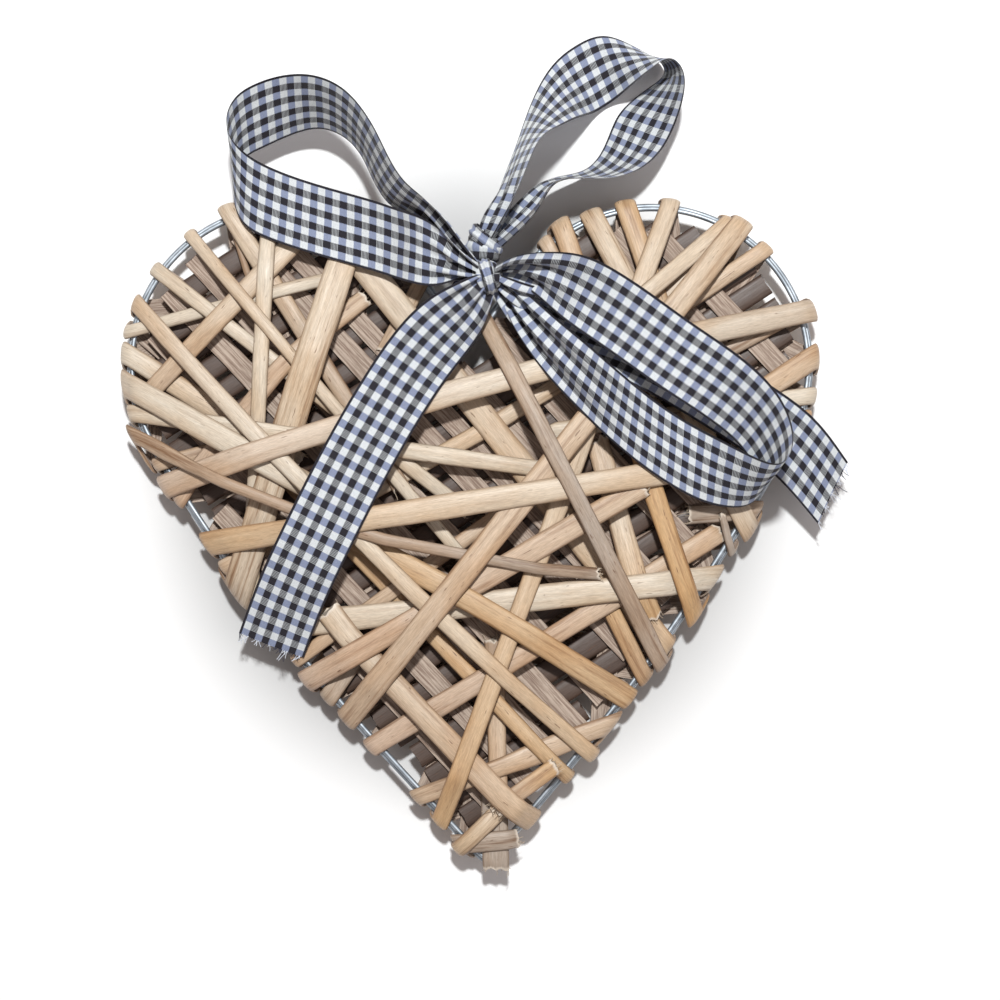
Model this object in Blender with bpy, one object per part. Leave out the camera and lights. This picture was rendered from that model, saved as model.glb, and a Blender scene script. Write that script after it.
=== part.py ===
import math

import bmesh
import bpy
import numpy as np

for old in list(bpy.data.objects):
    bpy.data.objects.remove(old, do_unlink=True)

# Driving dimensions, in metres
lobe_radius = 0.0430
lobe_spacing = 0.1000
lobe_height = 0.0484
cleft_height = 0.0540
flank_start_angle = math.radians(-30)
tip_depth = 0.0880
tip_lean = 0.0047
wire_diameter = 0.0014
wire_pair_stagger = 0.0009
strip_thickness = 0.0011
strip_crown = 0.62
strip_clearance = 0.00014
fold_clearance = 0.00032
side_gap = 0.0005
underside_flat = 0.0004
ribbon_width = 0.0190
ribbon_thickness = 0.0006
ribbon_clearance = 0.0005
knot_length = 0.0090
knot_height = 0.0085
drawing_unit = 0.000275

GRID_STEP = 0.0005
GRID_MIN_X = -0.105
GRID_MIN_Y = -0.105
GRID_COUNT_X = 430
GRID_COUNT_Y = 420

FOLD = "fold"
CUT = "cut"

# One row a strip, bottom of the pile first: name, then two points of its middle line in
# drawing units, sideways bow, width (drawing units), how each end is held, and the length
# of the leg carried round to the back at each end as a share of the way across.
STRIP_ROWS = [
    ("tip_end", 496, 867, 494, 790, 0, 26, CUT, CUT, 0, 0),
    ("tip_band", 466, 842, 515, 838, 0, 20, FOLD, CUT, 0.3, 0),
    ("tip_cross", 459, 846, 504, 805, 0, 18, FOLD, CUT, 0.3, 0),
    ("lower_upright", 494, 640, 499, 808, 0, 19, CUT, CUT, 0, 0),
    ("low_crossing", 422, 795, 565, 741, 0, 18, FOLD, FOLD, 0.6, 0.2),
    ("left_stub", 149, 466, 290, 431, 0, 15, FOLD, CUT, 0.5, 0),
    ("left_low_stub", 328, 698, 362, 648, 0, 20, FOLD, CUT, 0.8, 0),
    ("mid_diagonal", 285, 478, 566, 777, 0, 16, CUT, FOLD, 0, 0.6),
    ("right_low_stub", 497, 806, 554, 764, 0, 18, CUT, CUT, 0, 0),
    ("left_rise", 298, 657, 515, 503, 0, 15, FOLD, CUT, 0.5, 0),
    ("long_rise", 212, 575, 767, 249, -13, 17, FOLD, FOLD, 0.5, 0.2),
    ("right_arm_low", 650, 393, 792, 317, 0, 15, CUT, FOLD, 0, 0.5),
    ("right_arm_high", 640, 317, 722, 250, 0, 14, CUT, CUT, 0, 0),
    ("rounded_end", 818, 395, 546, 432, 0, 17, FOLD, CUT, 0.85, 0),
    ("right_lobe_drop", 625, 203, 700, 430, 0, 21, FOLD, CUT, 0.5, 0),
    ("cleft_drop", 546, 240, 622, 400, 0, 15, FOLD, CUT, 0.3, 0),
    ("lobe_sliver", 229, 210, 256, 300, 0, 7, FOLD, CUT, 0.3, 0),
    ("lobe_diagonal", 227, 206, 402, 488, 0, 18, FOLD, CUT, 0.5, 0),
    ("left_brace", 131, 331, 345, 275, 0, 13, FOLD, CUT, 0.8, 0),
    ("left_fan_1", 156, 269, 468, 512, 0, 15, FOLD, CUT, 0.5, 0),
    ("left_fan_wide", 127, 353, 300, 463, 0, 21, FOLD, CUT, 0.7, 0),
    ("left_return", 165, 512, 365, 298, 12, 19, FOLD, CUT, 0.5, 0),
    ("lobe_cross", 150, 394, 320, 218, 0, 20, CUT, FOLD, 0, 0.2),
    ("lobe_upright", 272, 212, 250, 597, 0, 16, FOLD, FOLD, 0.5, 0.2),
    ("left_fan_2", 190, 233, 470, 565, 0, 13, FOLD, CUT, 0.5, 0),
    ("cleft_left_stub", 413, 300, 384, 352, 0, 16, FOLD, CUT, 0.4, 0),
    ("centre_diagonal", 352, 250, 666, 650, 0, 26, FOLD, FOLD, 0.2, 0.5),
    ("right_foot", 600, 588, 647, 684, 0, 18, CUT, FOLD, 0, 0.5),
    ("low_rise", 368, 748, 718, 533, 0, 21, FOLD, CUT, 0.5, 0),
    ("right_prop", 597, 440, 651, 618, -6, 23, CUT, CUT, 0, 0),
    ("low_level", 744, 575, 270, 626, 0, 25, FOLD, FOLD, 0.5, 0.2),
    ("right_short", 789, 508, 690, 515, 0, 18, FOLD, CUT, 0.6, 0),
    ("right_arm_wide", 817, 356, 690, 437, 0, 22, FOLD, CUT, 0.5, 0),
    ("right_edge_piece", 813, 415, 750, 421, 0, 12, FOLD, CUT, 0.4, 0),
    ("right_sliver", 721, 515, 732, 562, 0, 7, CUT, FOLD, 0, 0.3),
    ("right_lobe_long", 591, 213, 760, 552, 0, 22, FOLD, FOLD, 0.2, 0.5),
    ("low_diagonal", 330, 610, 532, 822, -8, 24, CUT, FOLD, 0, 0.4),
    ("high_to_low", 671, 203, 441, 817, 0, 19, FOLD, FOLD, 0.5, 0.2),
    ("right_inner_drop", 562, 226, 697, 627, 0, 20, FOLD, FOLD, 0.2, 0.5),
    ("left_low_rise", 308, 680, 640, 487, 0, 23, FOLD, CUT, 0.5, 0),
    ("low_right_run", 330, 525, 632, 702, 6, 23, CUT, FOLD, 0, 0.5),
    ("broad_upright", 355, 232, 233, 606, 0, 30, FOLD, FOLD, 0.2, 0.5),
    ("left_level", 127, 412, 538, 469, 0, 17, FOLD, CUT, 0.5, 0),
    ("left_broad", 126, 384, 330, 497, 0, 24, FOLD, CUT, 0.3, 0),
    ("long_fall", 137, 303, 590, 755, -9, 17, FOLD, FOLD, 0.5, 0.2),
    ("right_lobe_arm", 731, 222, 636, 303, 0, 18, FOLD, CUT, 0.5, 0),
    ("upper_level", 155, 487, 808, 312, 13, 24, FOLD, FOLD, 0.2, 0.5),
    ("curved_run", 158, 446, 598, 573, -26, 12, FOLD, CUT, 0.5, 0),
    ("great_rise", 352, 712, 742, 226, 0, 24, FOLD, FOLD, 0.5, 0.2),
    ("middle_level", 191, 545, 800, 452, 0, 24, FOLD, FOLD, 0.2, 0.5),
    ("great_fall", 489, 328, 662, 668, 0, 17, FOLD, FOLD, 0.2, 0.28),
]
DRAWING_CENTRE = (470.0, 541.0)
drawn_half_width = 0.0930
drawn_top = 0.0914
drawn_depth = 0.0880


def plan_point(x, y):
    """A place in the drawing, moved with the outline when the outline's sizes change."""
    across = (x - DRAWING_CENTRE[0]) * drawing_unit
    up = (DRAWING_CENTRE[1] - y) * drawing_unit
    across *= (lobe_spacing / 2 + lobe_radius) / drawn_half_width
    up *= (lobe_height + lobe_radius) / drawn_top if up > 0 else tip_depth / drawn_depth
    return np.array([across, up])


def bezier(p0, p1, p2, p3, count):
    t = np.linspace(0.0, 1.0, count)[:, None]
    return (p0 * (1 - t) ** 3 + 3 * p1 * t * (1 - t) ** 2
            + 3 * p2 * t ** 2 * (1 - t) + p3 * t ** 3)


def arc(centre, radius, start, stop, count):
    angles = np.linspace(start, stop, count)
    return np.stack([centre[0] + radius * np.cos(angles),
                     centre[1] + radius * np.sin(angles)], axis=1)


def even_spacing(points, step):
    closed = np.vstack([points, points[:1]])
    lengths = np.linalg.norm(np.diff(closed, axis=0), axis=1)
    travelled = np.concatenate([[0.0], np.cumsum(lengths)])
    count = int(round(travelled[-1] / step))
    wanted = np.linspace(0.0, travelled[-1], count, endpoint=False)
    return np.stack([np.interp(wanted, travelled, closed[:, k]) for k in range(2)], axis=1)


def rounded(points, reach):
    kernel = np.exp(-0.5 * (np.arange(-reach * 3, reach * 3 + 1) / reach) ** 2)
    kernel /= kernel.sum()
    half = reach * 3
    padded = np.vstack([points[-half:], points, points[:half]])
    return np.stack([np.convolve(padded[:, k], kernel, mode="valid") for k in range(2)], axis=1)


def heart_outline(step):
    right = np.array([lobe_spacing / 2, lobe_height])
    left = np.array([-lobe_spacing / 2, lobe_height])
    cleft = np.array([0.0, cleft_height])
    tip = np.array([tip_lean, -tip_depth])
    to_cleft = cleft - right
    distance = np.linalg.norm(to_cleft)
    tangent_angle = math.atan2(to_cleft[1], to_cleft[0]) - math.acos(lobe_radius / distance)
    flank = flank_start_angle
    lobe_right = arc(right, lobe_radius, tangent_angle, flank, 120)
    mirrored = arc(left, lobe_radius, math.pi - flank, math.pi - tangent_angle, 120)
    start = lobe_right[-1]
    end = mirrored[0]
    reach = np.linalg.norm(tip - start)
    out_dir = np.array([math.sin(flank), -math.cos(flank)])
    into_tip = np.array([-0.66, -0.75])
    away_tip = np.array([-0.69, 0.725])
    flank_right = bezier(start, start + out_dir * reach * 0.34, tip - into_tip * reach * 0.40,
                         tip, 160)
    flank_left = bezier(tip, tip + away_tip * reach * 0.40,
                        end - np.array([out_dir[0], -out_dir[1]]) * reach * 0.34, end, 160)
    points = np.vstack([cleft[None], lobe_right, flank_right[1:], flank_left[1:],
                        mirrored[1:]])
    return rounded(even_spacing(points, step), max(1, int(0.0018 / step)))


FRAME_STEP = 0.0005
frame_line = heart_outline(FRAME_STEP)
frame_count = len(frame_line)
frame_tangent = np.roll(frame_line, -1, axis=0) - np.roll(frame_line, 1, axis=0)
frame_tangent /= np.linalg.norm(frame_tangent, axis=1)[:, None]
frame_outward = np.stack([-frame_tangent[:, 1], frame_tangent[:, 0]], axis=1)
fold_line = frame_line + frame_outward * wire_pair_stagger / 2

wire_rise = 0.5 * math.sqrt(max((wire_diameter + 0.0003) ** 2 - wire_pair_stagger ** 2, 1e-8))
pair_reach = math.hypot(wire_pair_stagger / 2, wire_rise) + wire_diameter / 2
fold_reach = np.full(frame_count, pair_reach)
top_map = np.full((GRID_COUNT_X, GRID_COUNT_Y), -1.0)
under_map = np.full((GRID_COUNT_X, GRID_COUNT_Y), -1.0)


def grid_index(points):
    i = np.floor((points[..., 0] - GRID_MIN_X) / GRID_STEP).astype(int)
    j = np.floor((points[..., 1] - GRID_MIN_Y) / GRID_STEP).astype(int)
    return np.clip(i, 0, GRID_COUNT_X - 1), np.clip(j, 0, GRID_COUNT_Y - 1)


def stamp(height_map, points, heights):
    for dx in (-GRID_STEP * 0.5, GRID_STEP * 0.5):
        for dy in (-GRID_STEP * 0.5, GRID_STEP * 0.5):
            i, j = grid_index(points + np.array([dx, dy]))
            np.maximum.at(height_map, (i, j), heights)


for across in np.linspace(-0.5, 0.5, 5):
    for height_map in (top_map, under_map):
        stamp(height_map, fold_line + frame_outward * across * 0.002,
              np.full(frame_count, pair_reach))


def frame_crossing(point, direction):
    """Where a line from a point inside leaves the frame: frame index and distance."""
    offset = fold_line - point
    along = offset @ direction
    side = offset[:, 0] * direction[1] - offset[:, 1] * direction[0]
    nxt = np.roll(side, -1)
    crossing = np.nonzero((side * nxt <= 0) & (along > -0.004))[0]
    best = None
    for k in crossing:
        if np.roll(along, -1)[k] < -0.004:
            continue
        if frame_outward[k] @ direction <= 0.05:
            continue
        if best is None or along[k] < along[best]:
            best = k
    return best, (along[best] if best is not None else 0.0)


def upper_hull(points):
    hull = []
    for p in sorted(points):
        while len(hull) >= 2:
            (x1, y1), (x2, y2) = hull[-2], hull[-1]
            if (x2 - x1) * (p[1] - y1) - (y2 - y1) * (p[0] - x1) >= 0:
                hull.pop()
            else:
                break
        hull.append(p)
    return hull


def thinned(points, tolerance):
    """Leave out points that lie on the straight line between those that are kept."""
    kept = [0]
    last = len(points) - 1
    while kept[-1] < last:
        a = kept[-1]
        b = last
        while b > a + 1:
            pa, pb = np.array(points[a]), np.array(points[b])
            chord = pb - pa
            length = np.linalg.norm(chord)
            worst = 0.0
            for k in range(a + 1, b):
                rel = np.array(points[k]) - pa
                worst = max(worst, abs(chord[0] * rel[1] - chord[1] * rel[0]) / length)
            if worst <= tolerance:
                break
            b -= 1
        kept.append(b)
    return [points[k] for k in kept]


def plan_curve(p0, p1, bow, count):
    t = np.linspace(0.0, 1.0, count)[:, None]
    chord = p1 - p0
    side = np.array([-chord[1], chord[0]]) / np.linalg.norm(chord)
    return p0 + chord * t + side * bow * 4 * t * (1 - t)


class Leg:
    """A run of strip on one face: plan curve, travelled length and support heights."""

    def __init__(self, curve, half_width, height_map, hold_start, hold_end):
        self.curve = curve
        self.half = half_width
        steps = np.linalg.norm(np.diff(curve, axis=0), axis=1)
        self.s = np.concatenate([[0.0], np.cumsum(steps)])
        self.length = self.s[-1]
        tangent = np.gradient(curve, axis=0)
        self.tangent = tangent / np.linalg.norm(tangent, axis=1)[:, None]
        self.hold = (hold_start, hold_end)
        side = np.stack([-self.tangent[:, 1], self.tangent[:, 0]], axis=1)
        offsets = np.arange(-half_width - 0.0002, half_width + 0.0003, 0.0004)
        support = np.full(len(curve), -1.0)
        for o in offsets:
            i, j = grid_index(curve + side * o)
            support = np.maximum(support, height_map[i, j])
        self.support = support

    def path(self):
        points = [(float(s), float(z) + strip_clearance)
                  for s, z in zip(self.s, self.support) if z > 0]
        for which, hold in enumerate(self.hold):
            base = 0.0 if which == 0 else self.length
            sign = -1.0 if which == 0 else 1.0
            if hold is None:
                k = 0 if which == 0 else -1
                rest = max(float(self.support[k]) + strip_clearance, 0.0010)
                points.append((base, rest))
                continue
            radius, slant = hold
            for a in np.linspace(0.0, 90.0, 5):
                angle = math.radians(a)
                points.append((base + sign * radius / slant * math.cos(angle),
                               radius * math.sin(angle)))
        return thinned(upper_hull(points), 0.00005)

    def at(self, s):
        inside = min(max(s, 0.0), self.length)
        x = np.interp(inside, self.s, self.curve[:, 0])
        y = np.interp(inside, self.s, self.curve[:, 1])
        tx = np.interp(inside, self.s, self.tangent[:, 0])
        ty = np.interp(inside, self.s, self.tangent[:, 1])
        t = np.array([tx, ty]) / math.hypot(tx, ty)
        return np.array([x, y]) + t * (s - inside), t


def footprint(index, half_length):
    count = int(round(half_length / FRAME_STEP))
    return [(index + k) % frame_count for k in range(-count, count + 1)]


def cross_direction(direction, fold_tangent, distance, width):
    """Across the strip: along the wire at a fold, square to the strip away from it."""
    square = np.array([-direction[1], direction[0]])
    if fold_tangent is None:
        return square
    along_wire = fold_tangent if fold_tangent @ square > 0 else -fold_tangent
    share = min(max((distance - 0.4 * width) / (1.6 * width), 0.0), 1.0)
    mixed = along_wire * (1 - share) + square * share
    return mixed / np.linalg.norm(mixed)


def leg_stations(leg, path, width, ends, upside):
    """Stations of one leg as (inner point, across, half length), upside is +1 or -1."""
    long_path = []
    for (s0, z0), (s1, z1) in zip(path, path[1:]):
        pieces = max(1, int((s1 - s0) / 0.045)) if leg.bowed else 1
        for k in range(pieces):
            long_path.append((s0 + (s1 - s0) * k / pieces, z0 + (z1 - z0) * k / pieces))
    long_path.append(path[-1])
    stations = []
    for s, z in long_path:
        point, direction = leg.at(s)
        distance_start = s
        distance_end = leg.length - s
        if ends[0] is not None and (ends[1] is None or distance_start <= distance_end):
            across = cross_direction(direction, ends[0], distance_start, width)
        elif ends[1] is not None:
            across = cross_direction(direction, ends[1], distance_end, width)
        else:
            across = cross_direction(direction, None, 0, width)
        spread = abs(across[0] * direction[1] - across[1] * direction[0])
        stations.append((np.array([point[0], point[1], upside * z]), across,
                         width / 2 / max(spread, 0.35)))
    return stations


def stamp_leg(height_map, stations, normals):
    for (a, na), (b, nb) in zip(zip(stations, normals), zip(stations[1:], normals[1:])):
        length = np.linalg.norm(b[0][:2] - a[0][:2])
        count = max(2, int(length / 0.0003))
        for t in np.linspace(0.0, 1.0, count):
            inner = a[0] * (1 - t) + b[0] * t
            outer = inner + (na * (1 - t) + nb * t) * strip_thickness
            across = a[1] * (1 - t) + b[1] * t
            half = a[2] * (1 - t) + b[2] * t
            offsets = np.arange(-half, half + 0.0003, 0.0003)[:, None] * across
            for level in (inner, outer):
                stamp(height_map, level[:2] + offsets,
                      np.full(len(offsets), abs(outer[2]) if level is outer
                              else abs(inner[2])))


def station_normals(stations):
    points = np.array([s[0] for s in stations])
    tangents = np.empty_like(points)
    for k in range(len(points)):
        before = points[k] - points[k - 1] if k > 0 else None
        after = points[k + 1] - points[k] if k + 1 < len(points) else None
        if before is None:
            t = after
        elif after is None:
            t = before
        else:
            t = before / np.linalg.norm(before) + after / np.linalg.norm(after)
        tangents[k] = t / np.linalg.norm(t)
    normals = []
    for k, station in enumerate(stations):
        across = np.array([station[1][0], station[1][1], 0.0])
        n = np.cross(tangents[k], across)
        n /= np.linalg.norm(n)
        stretch = 1.0
        if 0 < k < len(points) - 1:
            before = points[k] - points[k - 1]
            before /= np.linalg.norm(before)
            stretch = 1.0 / max(0.8, math.sqrt(max(0.0, 1 - (tangents[k] @ np.cross(
                n, across) - 1) ** 2)))
            turn = max(-1.0, min(1.0, float(before @ tangents[k])))
            stretch = 1.0 / max(0.85, turn)
        normals.append(n * stretch)
    return normals


def face_outward(mesh, smooth=True, split=False):
    work = bmesh.new()
    work.from_mesh(mesh)
    if split:
        bmesh.ops.triangulate(work, faces=work.faces)
    bmesh.ops.recalc_face_normals(work, faces=work.faces)
    for face in work.faces:
        face.smooth = smooth
    work.to_mesh(mesh)
    work.free()


def build_sweep(name, rings, material, smooth=True, closed=False):
    ring_size = len(rings[0])
    vertices = [tuple(p) for ring in rings for p in ring]
    faces = []
    last = len(rings) if closed else len(rings) - 1
    for r in range(last):
        a = r * ring_size
        b = ((r + 1) % len(rings)) * ring_size
        for k in range(ring_size):
            n = (k + 1) % ring_size
            faces.append((a + k, a + n, b + n, b + k))
    if not closed:
        faces.append(tuple(range(ring_size - 1, -1, -1)))
        end = (len(rings) - 1) * ring_size
        faces.append(tuple(end + k for k in range(ring_size)))
    mesh = bpy.data.meshes.new(name)
    mesh.from_pydata(vertices, [], faces)
    face_outward(mesh, smooth)
    obj = bpy.data.objects.new(name, mesh)
    bpy.context.scene.collection.objects.link(obj)
    obj.data.materials.append(material)
    return obj


def plain_material(name, colour, roughness, metallic=0.0):
    material = bpy.data.materials.new(name)
    material.use_nodes = True
    shader = material.node_tree.nodes["Principled BSDF"]
    shader.inputs["Base Color"].default_value = (*colour, 1.0)
    shader.inputs["Roughness"].default_value = roughness
    shader.inputs["Metallic"].default_value = metallic
    return material


def lay_strip(row):
    name, x0, y0, x1, y1, bow, width, hold0, hold1, back0, back1 = row
    p0, p1 = plan_point(x0, y0), plan_point(x1, y1)
    width *= drawing_unit
    bow *= drawing_unit
    direction = (p1 - p0) / np.linalg.norm(p1 - p0)
    middle = (p0 + p1) / 2
    folds = [None, None]
    for which, hold in enumerate((hold0, hold1)):
        if hold != FOLD:
            continue
        outward = -direction if which == 0 else direction
        start = p0 if which == 0 else p1
        index, _ = frame_crossing(start - outward * 0.010, outward)
        if index is None:
            index, _ = frame_crossing(middle, outward)
        if index is None:
            index = int(np.argmin(np.linalg.norm(fold_line - start, axis=1)))
        folds[which] = index
        if which == 0:
            p0 = fold_line[index]
        else:
            p1 = fold_line[index]
    curve = plan_curve(p0, p1, bow, max(40, int(np.linalg.norm(p1 - p0) / 0.0006)))
    ends = []
    holds = []
    for which, index in enumerate(folds):
        if index is None:
            ends.append(None)
            holds.append(None)
            continue
        near = curve[1] - curve[0] if which == 0 else curve[-1] - curve[-2]
        near = near / np.linalg.norm(near)
        slant = max(0.5, abs(near @ frame_outward[index]))
        cover = footprint(index, width / 2 / slant + side_gap)
        radius = float(max(fold_reach[k] for k in cover)) + fold_clearance
        ends.append(frame_tangent[index])
        holds.append((radius, slant))
    front = Leg(curve, width / 2, top_map, holds[0], holds[1])
    front.bowed = abs(bow) > 0.0008
    stations = leg_stations(front, front.path(), width, ends, 1.0)
    back_runs = [None, None]
    for which, index in enumerate(folds):
        share = back0 if which == 0 else back1
        if index is None:
            continue
        near = curve[1] - curve[0] if which == 0 else curve[-2] - curve[-1]
        near = near / np.linalg.norm(near)
        inward = -frame_outward[index]
        tangent = frame_tangent[index]
        mirrored = inward * (near @ inward) - tangent * (near @ tangent)
        mirrored /= np.linalg.norm(mirrored)
        _, room = frame_crossing(fold_line[index] + mirrored * 0.008, mirrored)
        room += 0.008
        reach = max(min(0.007, 0.36 * room), min(share * room, room - 0.009))
        back_curve = np.array([fold_line[index] + mirrored * reach * t
                               for t in np.linspace(0.0, 1.0, max(20, int(reach / 0.0006)))])
        leg = Leg(back_curve, width / 2, under_map, holds[which], None)
        leg.bowed = False
        run = leg_stations(leg, leg.path(), width, (tangent, None), -1.0)
        back_runs[which] = run
    everything = []
    spans = []
    if back_runs[0] is not None:
        run = list(reversed(back_runs[0]))
        everything += run[:-1]
        spans.append((0, len(run), under_map))
    start = len(everything)
    everything += stations
    spans.append((start, start + len(stations), top_map))
    if back_runs[1] is not None:
        run = [(p, -u, h) for p, u, h in back_runs[1]]
        everything += run[1:]
        spans.append((start + len(stations) - 1, len(everything), under_map))
    normals = station_normals(everything)
    for a, b, height_map in spans:
        stamp_leg(height_map, everything[a:b], normals[a:b])
    if folds[0] is None and folds[1] is None:
        top = max(float(p[2]) for p, _, _ in stations) + strip_thickness
        for k in range(frame_count):
            if np.min(np.linalg.norm(curve - fold_line[k], axis=1)) < width / 2 + 0.0008:
                fold_reach[k] = max(fold_reach[k], top)
    for which, index in enumerate(folds):
        if index is None:
            continue
        radius, slant = holds[which]
        for k in footprint(index, width / 2 / slant + side_gap / 4):
            fold_reach[k] = max(fold_reach[k], radius + strip_thickness)
    return name, everything, normals


def strip_rings(stations, normals):
    rings = []
    for (point, across, half), normal in zip(stations, normals):
        side = np.array([across[0], across[1], 0.0])
        outer = point + normal * strip_thickness
        rings.append([point - side * half, point + side * half,
                      outer + side * half * strip_crown, outer - side * half * strip_crown])
    return rings


laid = [lay_strip(row) for row in STRIP_ROWS]
lowest = min(float(p[2]) for _, stations, normals in laid
             for ring in strip_rings(stations, normals) for p in ring)
resting_level = lowest + underside_flat
strip_objects = []
for number, (name, stations, normals) in enumerate(laid):
    rings = strip_rings(stations, normals)
    for ring in rings:
        for p in ring:
            p[2] = max(p[2], resting_level)
    tone = 0.5 + 0.5 * math.sin(number * 2.4)
    material = plain_material("willow_" + name, (0.62 + 0.10 * tone, 0.44 + 0.10 * tone,
                                                 0.27 + 0.09 * tone), 0.6)
    strip_objects.append(build_sweep("strip_" + name, rings, material))


def wire_rings(offset, level, sides, spacing):
    count = int(frame_count * FRAME_STEP / spacing)
    rings = []
    for k in range(count):
        index = int(round(k * frame_count / count)) % frame_count
        centre = frame_line[index] + frame_outward[index] * offset
        ring = []
        for a in range(sides):
            angle = 2 * math.pi * a / sides
            reach = wire_diameter / 2 * math.cos(angle)
            ring.append(np.array([centre[0] + frame_outward[index][0] * reach,
                                  centre[1] + frame_outward[index][1] * reach,
                                  level + wire_diameter / 2 * math.sin(angle)]))
        rings.append(ring)
    return rings


wire_metal = plain_material("galvanised_wire", (0.62, 0.64, 0.66), 0.35, 1.0)
front_wire = build_sweep("frame_wire_front", wire_rings(0.0, wire_rise, 6, 0.0120),
                         wire_metal, closed=True)
back_wire = build_sweep("frame_wire_back", wire_rings(wire_pair_stagger, -wire_rise, 6, 0.0120),
                        wire_metal.copy(), closed=True)

# Ribbon runs: one row a station with its near edge and far edge in drawing units, the share
# of the full width kept where the ribbon is gathered, and a fixed height in millimetres
# where it is held off the strips, else None.
LEFT_LOOP = [
    (479, 274, 480, 281, 0.25, 12.2), (458, 258, 456, 285, 0.6, 13), (436, 231, 434, 291, 0.9, 13),
    (410, 219, 408, 286, 1, 13), (380, 207, 378, 274, 1, None),
    (323, 188, 320, 260, 1, None), (279, 174, 273, 243, 1, None), (250, 160, 243, 226, 1, None),
    (231, 137, 233, 192, 1, 3), (238, 106, 241, 160, 1, 1), (262, 88, 264, 147, 1, 0),
    (292, 82, 292, 134, 1, 0), (323, 87, 321, 128, 1, 2), (352, 103, 347, 140, 1, 4),
    (376, 136, 364, 160, 1, 5), (392, 168, 374, 184, 1, 6), (408, 194, 390, 209, 1, 7),
    (428, 210, 414, 219, 0.9, 7), (447, 231, 440, 235, 0.7, 7.5), (462, 252, 459, 259, 0.5, 7.5),
    (479, 271, 478, 277, 0.25, 7.6)]
RIGHT_LOOP = [
    (496, 272, 495, 281, 0.25, 12.4), (514, 264, 509, 284, 0.45, 14.4), (542, 263, 533, 299, 0.8, 18),
    (590, 266, 562, 326, 1, 20),
    (643, 298, 605, 355, 1, 20), (688, 329, 648, 387, 1, 20), (732, 363, 694, 416, 1, 20),
    (765, 397, 731, 444, 1, 19), (780, 436, 751, 474, 1, 17), (772, 466, 757, 492, 1, 13),
    (748, 460, 742, 508, 1, None), (704, 434, 698, 503, 1, None), (652, 402, 646, 474, 1, None),
    (604, 366, 588, 422, 0.95, 13.6), (567, 334, 546, 378, 0.8, 12.2), (540, 310, 520, 342, 0.65, 11),
    (519, 290, 507, 315, 0.45, 8.6), (497, 276, 494, 285, 0.25, 8)]
LEFT_TAIL = [
    (481, 279, 490, 289, 0.3, 10.5), (462, 286, 490, 316, 0.75, 10), (428, 304, 474, 346, 1, None),
    (394, 338, 450, 378, 1, None), (360, 386, 422, 424, 1, None), (324, 449, 388, 484, 1, None),
    (290, 519, 353, 552, 1, None), (262, 576, 326, 606, 1, None), (240, 632, 305, 657, 1, None)]
RIGHT_TAIL = [
    (497, 278, 489, 288, 0.3, 8.5), (532, 292, 512, 330, 0.85, 8), (590, 303, 550, 358, 1, None),
    (655, 322, 617, 380, 1, None), (712, 352, 673, 410, 1, None), (768, 387, 729, 444, 1, None),
    (812, 418, 775, 476, 1, None), (846, 462, 818, 524, 1, None)]
HANGING_LOOP = [
    (492, 243, 482, 240, 0.3, 7), (516, 204, 495, 204, 0.9, 5), (537, 150, 512, 156, 1, 1),
    (557, 134, 528, 108, 1, -3), (581, 117, 547, 66, 1, -7), (603, 104, 574, 38, 1, -9),
    (628, 87, 606, 26, 1, -9), (652, 71, 640, 40, 1, -10), (668, 62, 664, 54, 1, -10),
    (682, 76, 667, 69, 1, -10), (682, 101, 646, 84, 1, -10), (674, 128, 622, 104, 1, -10),
    (660, 153, 612, 126, 1, -9), (637, 174, 603, 148, 1, -8), (606, 184, 588, 165, 1, -7),
    (574, 184, 566, 173, 1, -4), (551, 190, 542, 181, 0.9, 0), (538, 212, 519, 203, 0.8, 3),
    (514, 234, 503, 226, 0.6, 5), (494, 250, 488, 244, 0.3, 5)]
TIE_BAND = [
    (490, 254, 480, 252, 0.3, 4.4), (486, 272, 466, 268, 0.34, 3), (472, 300, 449, 289, 0.36, 4),
    (458, 328, 437, 313, 0.36, 3.6)]
KNOT_TOP = (484.5, 250.0)
KNOT_BOW = (488.0, 281.0)


def spline_rows(rows, steps):
    """Even stations along a run of rows, as a smooth curve through every row."""
    data = np.array([[*plan_point(r[0], r[1]), *plan_point(r[2], r[3]), r[4],
                      0.0 if r[5] is None else r[5] * 0.001,
                      0.0 if r[5] is None else 1.0] for r in rows])
    padded = np.vstack([2 * data[0] - data[1], data, 2 * data[-1] - data[-2]])
    out = []
    for k in range(len(data) - 1):
        a, b, c, d = padded[k:k + 4]
        for t in np.linspace(0.0, 1.0, steps, endpoint=False):
            out.append(0.5 * (2 * b + (c - a) * t + (2 * a - 5 * b + 4 * c - d) * t ** 2
                              + (3 * b - a - 3 * c + d) * t ** 3))
    out.append(data[-1])
    return np.array(out)


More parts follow.
